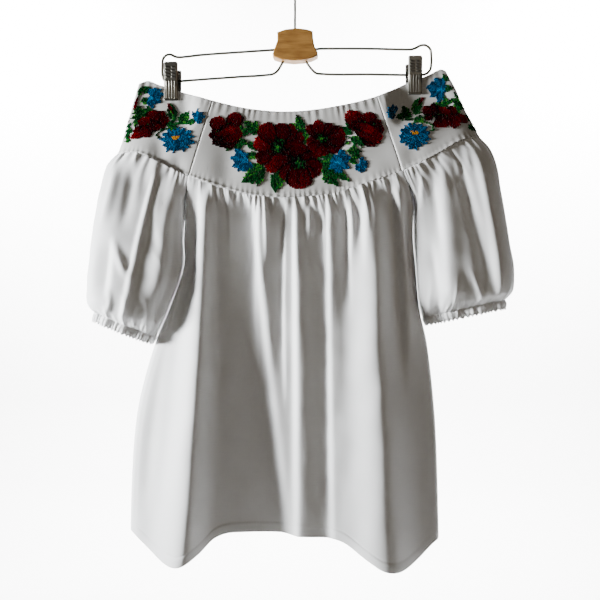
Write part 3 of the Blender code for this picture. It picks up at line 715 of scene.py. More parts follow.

# %% [markdown]
# ## Cloth that catches the light
#
# The blend is matt, with a slight sheen at grazing angles. A fine over-and-under weave is added to
# it as a bump further down, at about half a millimetre to the thread. The yoke is of two layers
# with a firm backing, so less light comes through it than through the body. Its material is the
# same cotton painted a little greyer, as painted shade for the light that doesn't come through.

# %% Cotton


def new_material(name, colour, roughness, metallic=0.0, **more):
    """A material and its shader; more sets other inputs, whose names have _ for each space."""
    material = bpy.data.materials.new(name)
    material.use_nodes = True
    shader = material.node_tree.nodes["Principled BSDF"]
    shader.inputs["Base Color"].default_value = (*colour, 1)
    shader.inputs["Roughness"].default_value = roughness
    shader.inputs["Metallic"].default_value = metallic
    for title, value in more.items():
        shader.inputs[title.replace("_", " ")].default_value = value
    return material, shader


cotton, cotton_shader = new_material(
    "cotton_looks",
    (0.74, 0.745, 0.75),
    0.55,
    Sheen_Weight=0.05,
    Sheen_Roughness=0.4,
    Specular_IOR_Level=0.2,
)
# The yoke's cotton is painted a little greyer: painted shade for the light that its two layers keep
# out
yoke_painted_shade, yoke_painted_shade_shader = new_material("backed_cotton", (0.53, 0.527, 0.515), 0.6, Sheen_Weight=0.05)
WITH_COTTON = {**yoke, **body, **sleeves, **cuffs}
for name, (panel, area) in WITH_COTTON.items():
    panel.data.materials.append(yoke_painted_shade if name in yoke else cotton)
    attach(panel, "root")
    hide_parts(name)
print(len(WITH_COTTON), "cloth pieces")

# %% [markdown]
# ## Stitches
#
# White thread shows as a row of short stitches along the yoke's lower seam, round the neck, above
# the hem and beside the elastic of each cuff. All of them are one joined mesh.

# %% Sew the stitch lines
STITCH = 2.3  # its length
STITCH_PITCH = 3.3  # from one stitch's start to the next one's
THREAD = 0.24  # half its thickness
# Which rows of a piece's grid have stitches, counted from its top or, below 0, from its bottom
STITCHED = ((yoke, (3, -2)), (body, (-13,)), (cuffs, (2, 12)))
STITCH_ROWS = [(name, row) for pieces, rows in STITCHED for name in pieces for row in rows]
DIAMOND = np.array([(1, 0, 0), (0, 1, 0), (-1, 0, 0), (0, -1, 0), (0, 0, 1), (0, 0, -1)], float)
DIAMOND_SIDES = np.array(
    [(0, 1, 4), (1, 2, 4), (2, 3, 4), (3, 0, 4), (1, 0, 5), (2, 1, 5), (3, 2, 5), (0, 3, 5)]
)


def stitches_along(line):
    """The corners of the stitches that lie along a line of points, just outside the cloth."""
    run = np.concatenate([[0], np.cumsum(np.linalg.norm(np.diff(line, axis=0), axis=-1))])
    stops = np.arange(STITCH_PITCH, run[-1] - STITCH_PITCH, STITCH_PITCH)
    spot, ahead = (
        np.stack([np.interp(stops + more, run, line[:, i]) for i in range(3)], axis=-1)
        for more in (0.0, 1.0)
    )
    way = (ahead - spot) / np.linalg.norm(ahead - spot, axis=-1, keepdims=True)
    out = np.stack([way[:, 1], -way[:, 0], np.zeros(len(way))], axis=-1)
    from_middle = spot - np.array([line[:, 0].mean(), 0, 0])
    out *= np.sign((out * from_middle).sum(axis=-1, keepdims=True))
    aside = np.cross(out, way)
    centre = spot + out * CLOTH_THICK / 2
    return (
        centre[:, None]
        + DIAMOND[None, :, :1] * way[:, None] * STITCH / 2
        + DIAMOND[None, :, 1:2] * aside[:, None] * THREAD
        + DIAMOND[None, :, 2:] * out[:, None] * THREAD
    )


corners = np.concatenate([stitches_along(GRIDS[name][row]) for name, row in STITCH_ROWS])
stitches = many_shapes("stitches", corners, DIAMOND_SIDES)
stitches.data.materials.append(cotton)
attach(stitches, "root")
print(len(corners), "stitches")

# %% [markdown]
# ## Bead embroidery: where a bead sits
#
# Glass seed beads of about two millimetres are sewn on side by side until they cover a motif. They
# are first planned on the flat drawing, in X and Z, on a grid of staggered rows. The grid is a
# little closer than a bead is wide, so that no cloth shows between them. Then the place on the
# yoke that lies behind each spot is searched for, and the bead is seated there, nearly half sunk
# in the cloth. A spot past the shoulder's fold goes on round to the back.

# %% Seating beads
BEAD = 1.12  # radius
GRID = 1.85  # from bead to bead

GRID_X, GRID_Z = np.meshgrid(np.arange(-250, 262, GRID), np.arange(-276, -100, GRID * 0.866))
GRID_X = GRID_X + (np.arange(len(GRID_X)) % 2)[:, None] * GRID / 2
GRID_X = (GRID_X + 0.5 * (noise(GRID_X * 0.31 + GRID_Z * 0.17) - 0.5)).ravel()
GRID_Z = GRID_Z.ravel()
GRAIN = noise(GRID_X * 0.77 + GRID_Z * 1.93)
PLAN = np.full(len(GRID_X), -1)  # each spot's tone, by number, or -1 while it is free
SEARCH_STEPS = 40


def paint(inside, tones, level):
    """Gives the free spots inside a motif a tone each; level 0 to 1 picks from dark to bright."""
    pick = np.clip((level * len(tones)).astype(int), 0, len(tones) - 1)
    chosen = inside & (PLAN < 0)
    PLAN[chosen] = np.array([TONE_NAMES.index(tone) for tone in tones])[pick][chosen]


def polar(x, z):
    """Distance and direction, in degrees, of every spot from a place."""
    return np.hypot(GRID_X - x, GRID_Z - z), np.degrees(np.arctan2(GRID_Z - z, GRID_X - x))


def turned(x, z, turn):
    """How far along and aside every spot is from a place, seen in a direction."""
    c, s = cos(np.radians(turn)), sin(np.radians(turn))
    return (GRID_X - x) * c + (GRID_Z - z) * s, (GRID_Z - z) * c - (GRID_X - x) * s


def fold_x(side, z):
    """Where the shoulder's fold is at a height."""
    line = YOKE_LINES[0] if side < 0 else YOKE_LINES[-1]
    low = SEAM_LINE[0] if side < 0 else SEAM_LINE[-1]
    return mix(line.top_x, line.low_x, np.clip((line.top_z - z) / (line.top_z - low.z), 0, 1))


def seat(x, z):
    """The yoke's points and outward directions behind flat places x, z."""
    left, right = fold_x(-1, z), fold_x(1, z)
    past = np.where(x < left, left - x, np.where(x > right, x - right, 0.0))
    face = np.where(past > 0, 1.0, -1.0)
    x = np.where(x < left, left + past, np.where(x > right, right - past, x))
    first, last = YOKE_LINES[0].top_x + 0.02, YOKE_LINES[-1].top_x - 0.02
    top_x = x * 0.85
    for _ in range(SEARCH_STEPS):
        low_x = along(YOKE_LINES, "top_x", "low_x", top_x)
        top_z = along(YOKE_LINES, "top_x", "top_z", top_x)
        t = np.clip((z - top_z) / (seam_z(low_x) - top_z), 0.02, 0.98)
        top_x = np.clip(top_x + 0.8 * (x - mix(top_x, low_x, t)), first, last)
    near = 0.4
    ahead, behind = np.clip(top_x + near, first, last), np.clip(top_x - near, first, last)
    place, way = (
        np.where(face[:, None] < 0, front, back)
        for front, back in (
            [yoke_points(top_x, t, side) for side in (-1, 1)],
            [yoke_points(ahead, t, side) - yoke_points(behind, t, side) for side in (-1, 1)],
        )
    )
    out = np.stack([way[:, 1], -way[:, 0], np.zeros(len(x))], axis=-1) * -face[:, None]
    out = out / np.maximum(np.linalg.norm(out, axis=-1, keepdims=True), 1e-6)
    return place + out * yoke_relief(top_x, t, 0.0, ())[:, None], out


# %% [markdown]
# ## Bead embroidery: the flowers
#
# The motifs are the poppies, cornflowers, buds and leaves of ordinary folk embroidery. One table
# has a row for each petal, floret, leaf and sprig: where it starts, which way it points, how far
# it reaches and how wide it spreads, as read off an enlarged photograph. A formula for each
# kind draws the rest, bead by bead: the edge, the teeth and the shades. A petal's long sides are
# darker and its rim is brighter, and each string of beads in it has its own shade.

# %% Flowers and leaves
TONES = {
    "ink": (0.002, 0.0015, 0.0015),
    "wine": (0.022, 0.000, 0.001),
    "garnet": (0.060, 0.000, 0.002),
    "red": (0.12, 0.001, 0.003),
    "scarlet": (0.17, 0.002, 0.004),
    "pine": (0.002, 0.020, 0.006),
    "leaf": (0.005, 0.072, 0.014),
    "grass": (0.036, 0.19, 0.020),
    "navy": (0.001, 0.030, 0.075),
    "blue": (0.001, 0.080, 0.19),
    "sky": (0.006, 0.17, 0.36),
    "gold": (0.42, 0.17, 0.010),
}
TONE_NAMES = list(TONES)
REDS = ("ink", "wine", "wine", "garnet", "garnet", "red", "red", "scarlet")
GREENS = ("pine", "pine", "leaf", "leaf", "grass")
BLUES = ("navy", "navy", "blue", "blue", "sky")

# Where each motif starts, the direction that it points in, its length and its half width. A petal
# also has a brightness; a heart and a bloom have two half widths; a sprig has a curl. The first
# of two motifs that meet lies on top
Heart = namedtuple("Heart", "x z long wide turn")
Petal = namedtuple("Petal", "x z turn length width bright")
Ray = namedtuple("Ray", "x z turn length width")
Bloom = namedtuple("Bloom", "x z across tall rays gold_x gold_z gold")
Leaf = namedtuple("Leaf", "x z turn length width")
Bud = namedtuple("Bud", "x z turn length width")
Sprig = namedtuple("Sprig", "x z turn length curl")


def rays(x, z, *spokes):
    """The florets of one flower, each with its turn, length and width."""
    return [Ray(x, z, *spoke) for spoke in spokes]


MOTIFS = (
    # The left cup: its lip, its dark middle and the petals behind
    Petal(-101, -197, 19, 25, 5, 0.9), Petal(-103, -205, 26, 37, 12, 0.35),
    Petal(-106, -205, 2, 32, 9, 0.15), Heart(-92, -189, 12, 4, 33),
    Petal(-101, -197, 81, 25, 10, 0.6), Petal(-78, -191, 87, 24, 10, 0.4),
    Petal(-102, -199, 166, 9, 4, 0.0), Petal(-92, -191, 39, 12, 5, 0.1),
    # The right cup
    Petal(76, -182, 339, 27, 6, 0.9), Petal(72, -182, 331, 45, 11, 0.35),
    Petal(81, -191, 326, 30, 10, 0.2), Heart(96, -185, 11, 4, -22),
    Petal(81, -189, 118, 27, 8, 0.8), Petal(79, -188, 88, 23, 7, 0.5),
    Petal(95, -186, 90, 19, 9, 0.4), Petal(101, -186, 43, 12, 7, 0.1),
    Petal(101, -188, 349, 14, 5, 0.0),
    # The low poppy
    Heart(4, -233, 11, 9, 0), Petal(5, -231, 271, 36, 15, 0.35), Petal(3, -234, 222, 27, 10, 0.3),
    Petal(1, -232, 178, 31, 9, 0.45), Petal(7, -236, 304, 23, 10, 0.35),
    Petal(5, -234, 343, 31, 11, 0.15), Petal(4, -230, 15, 25, 8, 0.05),
    Petal(5, -232, 90, 24, 11, 0.15), Petal(5, -232, 320, 28, 11, 0.2),
    # The big poppy
    Heart(-22, -213, 10, 12, 0), Petal(-25, -209, 123, 32, 11, 0.5),
    Petal(-20, -211, 82, 30, 11, 0.1), Petal(-22, -209, 48, 32, 10, 0.1),
    Petal(-26, -211, 165, 27, 11, 1.0), Petal(-26, -216, 213, 27, 9, 0.15),
    Petal(-23, -218, 253, 29, 9, 0.75), Petal(-20, -213, 28, 35, 10, 0.2),
    Petal(-19, -214, 357, 32, 10, 0.3), Petal(-20, -218, 296, 25, 11, 0.2),
    # The right poppy
    Heart(35, -201, 8, 6, -15), Petal(33, -200, 100, 23, 7, 0.6),
    Petal(32, -200, 137, 23, 6, 0.35), Petal(37, -200, 61, 21, 8, 0.0),
    Petal(37, -201, 9, 28, 13, 0.25), Petal(38, -205, 331, 23, 9, 0.1),
    Petal(32, -204, 244, 22, 10, 0.6), Petal(36, -204, 275, 20, 8, 0.3),
    Petal(32, -203, 198, 18, 7, 0.45), Petal(40, -204, 302, 20, 5, 0.5),
    # The left shoulder's poppy
    Petal(-178, -186, 201, 37, 5, 0.7), Petal(-183, -183, 225, 20, 8, 0.6),
    Petal(-191, -188, 11, 18, 5, 0.2), Heart(-187, -184, 12, 3, 14),
    Petal(-191, -187, 108, 16, 8, 0.6), Petal(-185, -183, 83, 20, 9, 0.3),
    Petal(-181, -183, 59, 22, 8, 0.15), Petal(-179, -181, 28, 18, 6, 0.2),
    Petal(-179, -182, 349, 13, 4, 0.0), Petal(-193, -185, 209, 17, 5, 0.2),
    # The right shoulder's poppy
    Petal(189, -171, 279, 16, 12, 0.5), Petal(198, -171, 319, 19, 9, 0.6),
    Petal(201, -170, 343, 24, 5, 0.9), Heart(188, -171, 11, 3, -4),
    Petal(181, -168, 212, 15, 4, 0.0), Petal(181, -167, 158, 17, 6, 0.3),
    Petal(185, -170, 127, 18, 7, 0.0), Petal(189, -172, 70, 14, 10, 0.55),
    Petal(195, -171, 35, 17, 7, 0.1),
    # Cornflowers and the small blue flowers
    Bloom(-151, -203, 22, 16, 15, -153, -200, 5.1), Bloom(153, -198, 20, 19, 15, 154, -194, 5.4),
    *rays(-62, -230, (134, 22, 5.4), (169, 22, 4.3), (204, 20, 4.5), (230, 18, 4.3),
        (257, 16, 5.2), (304, 13, 4.0), (108, 11, 5.4)),
    *rays(56, -230, (66, 16, 5.6), (15, 16, 5.6), (127, 9, 5.4)),
    *rays(55, -231, (324, 17, 5.4), (283, 16, 4.5), (261, 15, 4.0), (225, 15, 4.5),
        (190, 10, 4.5)),
    *rays(83, -237, (71, 12, 3.4), (31, 12, 3.2), (355, 11, 3.2), (313, 10, 3.1), (273, 9, 3.2),
        (229, 8, 3.1), (189, 6, 2.7)),
    *rays(-188, -148, (63, 17, 4.2), (44, 20, 3.4), (24, 20, 3.9), (93, 15, 2.4)),
    *rays(-189, -146, (340, 17, 3.4), (313, 13, 2.8), (286, 15, 3.4), (266, 11, 2.1)),
    *rays(-127, -176, (115, 12, 2.8), (83, 14, 2.8), (49, 14, 2.6), (22, 12, 2.8), (342, 9, 2.6),
        (309, 7, 2.8)),
    *rays(190, -136, (168, 20, 5.6), (141, 18, 3.3), (115, 18, 5.1), (84, 16, 4.1), (59, 9, 3.3)),
    *rays(193, -133, (212, 22, 3.9), (249, 21, 4.7), (257, 8, 4.1)),
    *rays(129, -167, (106, 12, 2.9), (78, 10, 2.6), (146, 12, 2.8), (180, 11, 2.6),
        (212, 12, 2.6), (244, 10, 2.8)),
    # Leaves of the middle
    Leaf(-48, -195, 134, 25, 6), Leaf(-48, -194, 101, 17, 4), Leaf(-71, -197, 35, 17, 5),
    Leaf(-70, -191, 71, 8, 3), Leaf(-78, -207, 21, 15, 4), Leaf(-72, -204, 278, 14, 3),
    Leaf(-74, -207, 252, 10, 2), Leaf(-79, -209, 216, 13, 3), Leaf(-70, -205, 335, 10, 2),
    Leaf(-61, -206, 320, 17, 4), Leaf(-48, -224, 174, 17, 4), Leaf(-38, -241, 210, 35, 9),
    Leaf(-38, -243, 149, 19, 4), Leaf(-43, -245, 256, 19, 5), Leaf(-21, -243, 261, 30, 8),
    Leaf(10, -189, 114, 21, 5), Leaf(5, -189, 146, 15, 3), Leaf(13, -209, 97, 26, 5),
    Leaf(5, -193, 51, 12, 4), Leaf(74, -195, 152, 19, 4), Leaf(71, -191, 117, 11, 3),
    Leaf(92, -208, 161, 25, 5), Leaf(77, -204, 261, 11, 2), Leaf(81, -204, 297, 11, 2),
    Leaf(94, -205, 308, 7, 2), Leaf(71, -205, 204, 9, 2), Leaf(67, -218, 0, 19, 5),
    Leaf(72, -221, 335, 13, 4), Leaf(69, -227, 324, 14, 4), Leaf(51, -226, 179, 19, 4),
    Leaf(33, -225, 183, 9, 2), Leaf(31, -229, 324, 49, 7), Leaf(35, -240, 311, 32, 6),
    Leaf(35, -251, 307, 12, 2),
    # Leaves of the left shoulder
    Leaf(-187, -134, 196, 15, 4), Leaf(-197, -131, 245, 16, 3), Leaf(-190, -150, 178, 11, 4),
    Leaf(-199, -157, 211, 11, 2), Leaf(-195, -162, 200, 18, 3), Leaf(-186, -161, 206, 31, 4),
    Leaf(-182, -161, 214, 18, 3), Leaf(-192, -156, 287, 9, 2), Leaf(-198, -173, 213, 14, 4),
    Leaf(-203, -176, 247, 11, 2), Leaf(-211, -180, 219, 9, 2), Leaf(-210, -190, 185, 10, 4),
    Leaf(-213, -197, 191, 8, 4), Leaf(-212, -203, 191, 8, 2), Leaf(-165, -181, 329, 18, 5),
    Leaf(-149, -180, 54, 20, 6), Leaf(-140, -181, 22, 14, 4),
    # Leaves of the right shoulder
    Leaf(198, -125, 123, 11, 3), Leaf(193, -134, 0, 12, 4), Leaf(212, -148, 126, 10, 2),
    Leaf(197, -158, 105, 15, 3), Leaf(199, -154, 48, 10, 2), Leaf(204, -148, 326, 18, 4),
    Leaf(203, -160, 0, 17, 4), Leaf(206, -160, 315, 11, 3), Leaf(191, -157, 160, 12, 2),
    Leaf(197, -157, 153, 11, 3), Leaf(222, -169, 305, 15, 3), Leaf(223, -183, 332, 14, 4),
    Leaf(165, -171, 218, 17, 4), Leaf(161, -172, 286, 11, 3), Leaf(148, -175, 113, 21, 5),
    Leaf(143, -170, 195, 13, 5), Leaf(147, -176, 87, 16, 3),
    # Buds and sprigs
    Petal(-157, -168, 118, 17, 2, 0.5), Petal(159, -157, 57, 14, 2, 0.5),
    Bud(-156, -177, 105, 24, 6.5), Bud(154, -168, 69, 24, 6.5),
    Petal(-204, -145, 254, 19, 2, 0.7), Petal(-214, -174, 243, 6, 1, 0.3),
    Sprig(-156, -177, 204, 10, 0.6), Sprig(-160, -181, 0, 19, 0.2),
    Sprig(-165, -188, 209, 15, 0.7), Sprig(-178, -196, 306, 6, 0.6),
    Sprig(156, -168, 18, 9, -0.5), Sprig(143, -176, 2, 11, 0.2), Sprig(168, -170, 270, 11, 0.5),
    Sprig(168, -180, 333, 9, -0.3), Sprig(176, -184, 283, 8, -0.4), Sprig(177, -191, 180, 5, 0.2),
    Sprig(-70, -204, 0, 9, 0.2), Sprig(-52, -223, 9, 5, 0.0), Sprig(65, -199, 349, 5, 0.1),
    Sprig(25, -225, 328, 8, -0.5), Sprig(84, -207, 282, 6, 0.2), Sprig(-77, -211, 284, 2, 0.0),
)


def strings(across, seed):
    """A shade for each string of beads, which are laid side by side along a petal."""
    return noise(np.floor(across / GRID) * 0.61 + seed)


def draw_heart(heart, seed):
    """A dark middle, with a green pod and stamens that stand out of the ink."""
    run, aside = turned(heart.x, heart.z, heart.turn)
    ring = np.hypot(run / heart.long, aside / heart.wide) + 0.5 * (GRAIN - 0.5)
    speck = noise(GRAIN * 31 + seed)
    if heart.wide > 5:
        paint(ring < 0.26, ("leaf", "grass", "leaf"), speck)
    paint(ring < 1.05, ("ink", "ink", "ink", "leaf", "ink", "ink", "pine", "ink", "ink"), speck)


def draw_petal(petal, seed):
    """A lobe with a blunt foot and a round, frayed end; its edges are dark, its rim is red."""
    run, aside = turned(petal.x, petal.z, petal.turn)
    shade = strings(aside * (1 + 0.3 * run / petal.length), seed)
    share = run / (petal.length * (0.97 + 0.06 * shade))
    wide = np.where(
        share < 0.64,
        0.55 + 0.6 * ease(share / 0.64),
        1.15 * np.sqrt(np.clip(1 - ((share - 0.64) / 0.36) ** 2, 0, 1)),
    )
    edge = np.abs(aside) / np.maximum(petal.width * wide, 0.1)
    level = 0.22 + 0.3 * petal.bright + 0.24 * (shade - 0.5) + 0.2 * (GRAIN - 0.5)
    level = level + 0.42 * petal.bright * ease((share - 0.45) / 0.5) - 0.16 * (share < 0.35)
    level = level - 0.34 * ease((edge - 0.74) / 0.2) + 0.14 * (share > 0.9)
    paint((share > 0) & (share < 1) & (edge < 1), REDS, level)


def draw_ray(ray, seed):
    """A cornflower's floret: it widens from a thin foot and ends in a blunt point."""
    run, aside = turned(ray.x, ray.z, ray.turn)
    share = run / ray.length
    edge = np.abs(aside) / (ray.width * (0.34 + 0.72 * ease(share / 0.8)) + 0.3)
    tooth = 0.36 * np.clip(edge, 0, 1) ** 1.5
    level = 0.42 + 0.5 * (strings(aside, seed) - 0.5) + 0.25 * (GRAIN - 0.5)
    level = level + 0.4 * (share < 0.22) - 0.2 * (edge > 0.75)
    paint((share > -0.06) & (share < 1 - tooth) & (edge < 1), BLUES, level)


def draw_bloom(bloom, seed):
    """A cornflower seen from the front, with a gold crescent in its middle."""
    run, way = polar(bloom.x, bloom.z)
    part = 360 / bloom.rays
    ray = np.floor(way / part)
    aside = 2 * (way / part - ray) - 1
    flat = np.hypot(np.cos(np.radians(way)) * bloom.across, np.sin(np.radians(way)) * bloom.tall)
    shade = strings(np.radians(way) * flat, seed)
    reach = flat * (1.03 - 0.27 * np.abs(aside) ** 1.5) * (0.88 + 0.18 * noise(ray * 2.7 + seed))
    from_gold = polar(bloom.gold_x, bloom.gold_z + 0.4 * bloom.gold)[0]
    below = GRID_Z < bloom.gold_z + 0.5 * bloom.gold - 0.3 * np.abs(GRID_X - bloom.gold_x)
    paint(below & (from_gold < bloom.gold) & (from_gold > 0.25 * bloom.gold), ("gold",), shade)
    level = 0.45 + 0.6 * (shade - 0.5) + 0.25 * (GRAIN - 0.5) - 0.3 * (np.abs(aside) > 0.7)
    paint(run < reach + 1.6 * (shade - 0.5), BLUES, level)


def draw_leaf(leaf, seed):
    """Slanting strings of two greens on each side of a rib, which end in teeth at the edge."""
    run, aside = turned(leaf.x, leaf.z, leaf.turn)
    share = np.clip(run / leaf.length, 0, 1)
    slant = (run - 1.1 * np.abs(aside)) / 3.8 + seed
    tooth = 0.78 + 0.4 * (slant - np.floor(slant))
    half = 1.2 * leaf.width * np.sin(pi * share**0.75) ** 0.95 * tooth
    inside = (run > 0) & (run < leaf.length) & (np.abs(aside) < np.maximum(half, 0.9))
    level = 0.38 + 0.42 * (np.floor(slant * 2) % 2) + 0.35 * (GRAIN - 0.5)
    level = level - 0.25 * (np.abs(aside) < 0.9) - 0.2 * (aside * (1 if seed % 2 < 1 else -1) > 0)
    paint(inside, GREENS, level)


def draw_bud(bud, seed):
    """A bud's green sepals; its red core is a petal that is painted before it."""
    run, aside = turned(bud.x, bud.z, bud.turn)
    half = bud.width * np.sin(pi * np.clip(run / bud.length, 0, 1)) ** 0.7
    paint(np.abs(aside) < half, GREENS, 0.7 * strings(aside, seed) + 0.3 * GRAIN)


def draw_sprig(sprig, seed):
    """A single string of beads that bends by its curl, in radians, along its length."""
    x, z, turn = sprig.x, sprig.z, np.radians(sprig.turn) - sprig.curl / 2
    steps = int(sprig.length / GRID) + 1
    for _ in range(steps):
        nearest = polar(x, z)[0]
        paint(nearest <= np.sort(nearest)[1], ("pine", "leaf"), strings(GRAIN, seed))
        turn += sprig.curl / steps
        x, z = x + GRID * cos(turn), z + GRID * sin(turn)


DRAWN_BY = {
    Heart: draw_heart,
    Petal: draw_petal,
    Ray: draw_ray,
    Bloom: draw_bloom,
    Leaf: draw_leaf,
    Bud: draw_bud,
    Sprig: draw_sprig,
}
for i, motif in enumerate(MOTIFS):
    DRAWN_BY[type(motif)](motif, 5.0 + 0.37 * i)
print(int((PLAN >= 0).sum()), "beads are planned")

# %% [markdown]
# Seed beads are small glass balls. Packed side by side they hide each other's shine and read as one
# deep colour, so their glass is given none, and they keep that colour from the side too. Each group
# of colours is one joined mesh with a material to a colour, because thousands of separate objects
# would be slow to draw and slow to load.

# %% Make the beads
GOLDEN = (1 + 5**0.5) / 2
ICOSAHEDRON = np.array(
    [(-1, GOLDEN, 0), (1, GOLDEN, 0), (-1, -GOLDEN, 0), (1, -GOLDEN, 0), (0, -1, GOLDEN)]
    + [(0, 1, GOLDEN), (0, -1, -GOLDEN), (0, 1, -GOLDEN), (GOLDEN, 0, -1), (GOLDEN, 0, 1)]
    + [(-GOLDEN, 0, -1), (-GOLDEN, 0, 1)]
)
ICOSAHEDRON = ICOSAHEDRON / np.linalg.norm(ICOSAHEDRON[0])
ICOSAHEDRON_SIDES = np.array(
    [(0, 11, 5), (0, 5, 1), (0, 1, 7), (0, 7, 10), (0, 10, 11), (1, 5, 9), (5, 11, 4)]
    + [(11, 10, 2), (10, 7, 6), (7, 1, 8), (3, 9, 4), (3, 4, 2), (3, 2, 6), (3, 6, 8)]
    + [(3, 8, 9), (4, 9, 5), (2, 4, 11), (6, 2, 10), (8, 6, 7), (9, 8, 1)]
)


BEAD_GROUPS = {
    "beads_red": ("ink", "wine", "garnet", "red", "scarlet"),
    "beads_green": ("pine", "leaf", "grass"),
    "beads_blue": ("navy", "blue", "sky", "gold"),
}
used = np.flatnonzero(PLAN >= 0)
places, outwards = seat(GRID_X[used], GRID_Z[used])
for group, tones in BEAD_GROUPS.items():
    kinds = [TONE_NAMES.index(tone) for tone in tones]
    chosen = np.isin(PLAN[used], kinds)
    size = BEAD * (0.93 + 0.14 * GRAIN[used][chosen])
    centres = places[chosen] + outwards[chosen] * (0.15 * size + CLOTH_THICK / 2)[:, None]
    corners = centres[:, None] + ICOSAHEDRON * size[:, None, None]
    beads = many_shapes(group, corners, ICOSAHEDRON_SIDES)
    beads.data.shade_smooth()
    for tone in tones:
        glass = new_material("glass_" + tone, TONES[tone], 0.55, Specular_IOR_Level=0)[0]
        beads.data.materials.append(glass)
    slots = np.repeat(PLAN[used][chosen] - kinds[0], len(ICOSAHEDRON_SIDES))
    beads.data.polygons.foreach_set("material_index", slots.astype(np.int32))
    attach(beads, "root")
    print(group, int(chosen.sum()), "beads")

# %% [markdown]
# ## The clips
#
# Each clip is two pressed steel plates on a wire spring, and the hanger's own wire runs through
# the spring. Pressing gives a plate its form: its sides are folded back, short ridges near the top
# stop a thumb from slipping and long ribs below make the jaw stiff. The plate is one grid whose
# rises are these features. The rear plate of a clip is shorter and sits a little to one side.

# %% Clips
CLIP_SHEET = 0.9  # the plate's thickness
PLATE_ROWS = 96
PLATE_COLUMNS = 45
SPRING_TURNS = 5
SPRING_RADIUS = 2.4
SPRING_WIRE = 0.55
SPRING_LENGTH = 11.0
GRIP_LEVELS = (7.5, 11.7, 15.9, 20.1)
RIB_PLACES = (-5.3, -1.8, 1.8, 5.3)
RIDGE_HALF = 0.95  # of the pressed ridges and ribs

# A plate's middle line: how far below the plate's top and how far from the middle plane
PlateBend = namedtuple("PlateBend", "below away")
PLATE_BENDS = (
    PlateBend(0, 5.6),
    PlateBend(10, 5.3),
    PlateBend(24, 4.5),
    PlateBend(33, 2.7),
    PlateBend(50, 2.5),
)


def rounded(from_end, radius):
    """How far out a plate's side is, from 0 to 1, at a distance from its rounded end."""
    return np.sqrt(np.clip(1 - ((radius - from_end) / radius).clip(0, 1) ** 2, 0, 1))


def plate(name, clip, face, shift, start):
    """A pressed plate; shift moves it sideways and start is how much shorter it is at the top."""
    below = np.linspace(start, CLIP_HEIGHT, PLATE_ROWS)[:, None]
    across = np.linspace(-1, 1, PLATE_COLUMNS)[None, :]
    top_round, low_round = rounded(below - start, 3), rounded(CLIP_HEIGHT - below, 2)
    half = CLIP_WIDTH / 2 - 2.6 * (1 - top_round) - 1.6 * (1 - low_round)
    x = across * half
    # The sides are folded back, and less so at the jaw
    folded, jaw_side = ease((np.abs(x) - 7.4) / 1.5), ease((below - 30) / 8)
    rise = -2.0 * folded * (1 - jaw_side) - 0.7 * folded * jaw_side
    # Two columns of short ridges, which slope a little
    for level in GRIP_LEVELS:
        for middle in (-3.7, 3.7):
            held = 1 - ease((np.abs(x - middle) - 2.3) / 0.8)
            slope = level + 0.12 * (x - middle)
            rise = rise + 0.75 * held * hump(below - slope, RIDGE_HALF)
    # The jaw's ribs, and one more across its end
    jaw = ease((below - 23.5) / 1.5) * (1 - ease((below - 46.5) / 1.0))
    for place in RIB_PLACES:
        rise = rise + 0.7 * jaw * hump(x - place, RIDGE_HALF)
    rise = rise + 0.5 * hump(below - 48.6, 0.9)
    away = along(PLATE_BENDS, "below", "away", below) + rise
    top_z = clip.low_z + CLIP_HEIGHT
    points = np.stack(np.broadcast_arrays(clip.x + shift + x, face * away, top_z - below), axis=-1)
    return cloth(name, points, thick=CLIP_SHEET)


def curve(name, route, cyclic=False, **settings):
    """A curve through points in millimetres, with settings of its data by their own names."""
    data = bpy.data.curves.new(name, "CURVE")
    for title, value in settings.items():
        setattr(data, title, value)
    spline = data.splines.new("POLY")
    spline.use_cyclic_u = cyclic
    spline.points.add(len(route) - 1)
    spline.points.foreach_set("co", np.column_stack([route * MM, np.ones(len(route))]).ravel())
    return add_object(name, data)


def wire(name, route, radius):
    """A round wire with closed ends."""
    bevel = {"bevel_depth": radius * MM, "bevel_resolution": 5, "use_fill_caps": True}
    return curve(name, route, dimensions="3D", **bevel)


def coil(name, clip):
    """A clip's spring, wound round the place of the hanger's wire."""
    turn = np.linspace(0, 2 * pi * SPRING_TURNS, 24 * SPRING_TURNS)
    x = clip.x + SPRING_LENGTH * (turn / turn[-1] - 0.5)
    y, z = SPRING_RADIUS * np.cos(turn), clip.wire_z + SPRING_RADIUS * np.sin(turn)
    return wire(name, np.stack([x, y, z], axis=-1), SPRING_WIRE)


metal = {}
for clip, aside in zip(CLIPS, (4.0, -3.0)):
    stem = f"clip_{clip.name}_"
    metal[stem + "front"] = plate(stem + "front_plate", clip, -1, 0.0, 0.0)
    metal[stem + "back"] = plate(stem + "back_plate", clip, 1, aside, 9.0)
    metal[stem + "spring"] = coil(stem + "coil", clip)
print(len(metal), "clip pieces")

# %% [markdown]
# ## The wire hanger and its block
#
# Two loops of steel wire are bent with round corners, and their ends go into holes in a block of
# wood. The block is sawn to an arched outline and its edges are rubbed round. The photograph's
# cut-out has lost the hook, so a plain one is turned edge-on, and it hangs the whole thing.

# %% Hanger
WIRE_RADIUS = 1.7
HOOK_RADIUS = 1.6
HOOK_BOWL = 17.0
BLOCK_THICK = 24.0
BLOCK_EDGE = 1.6  # the radius of its rubbed edges

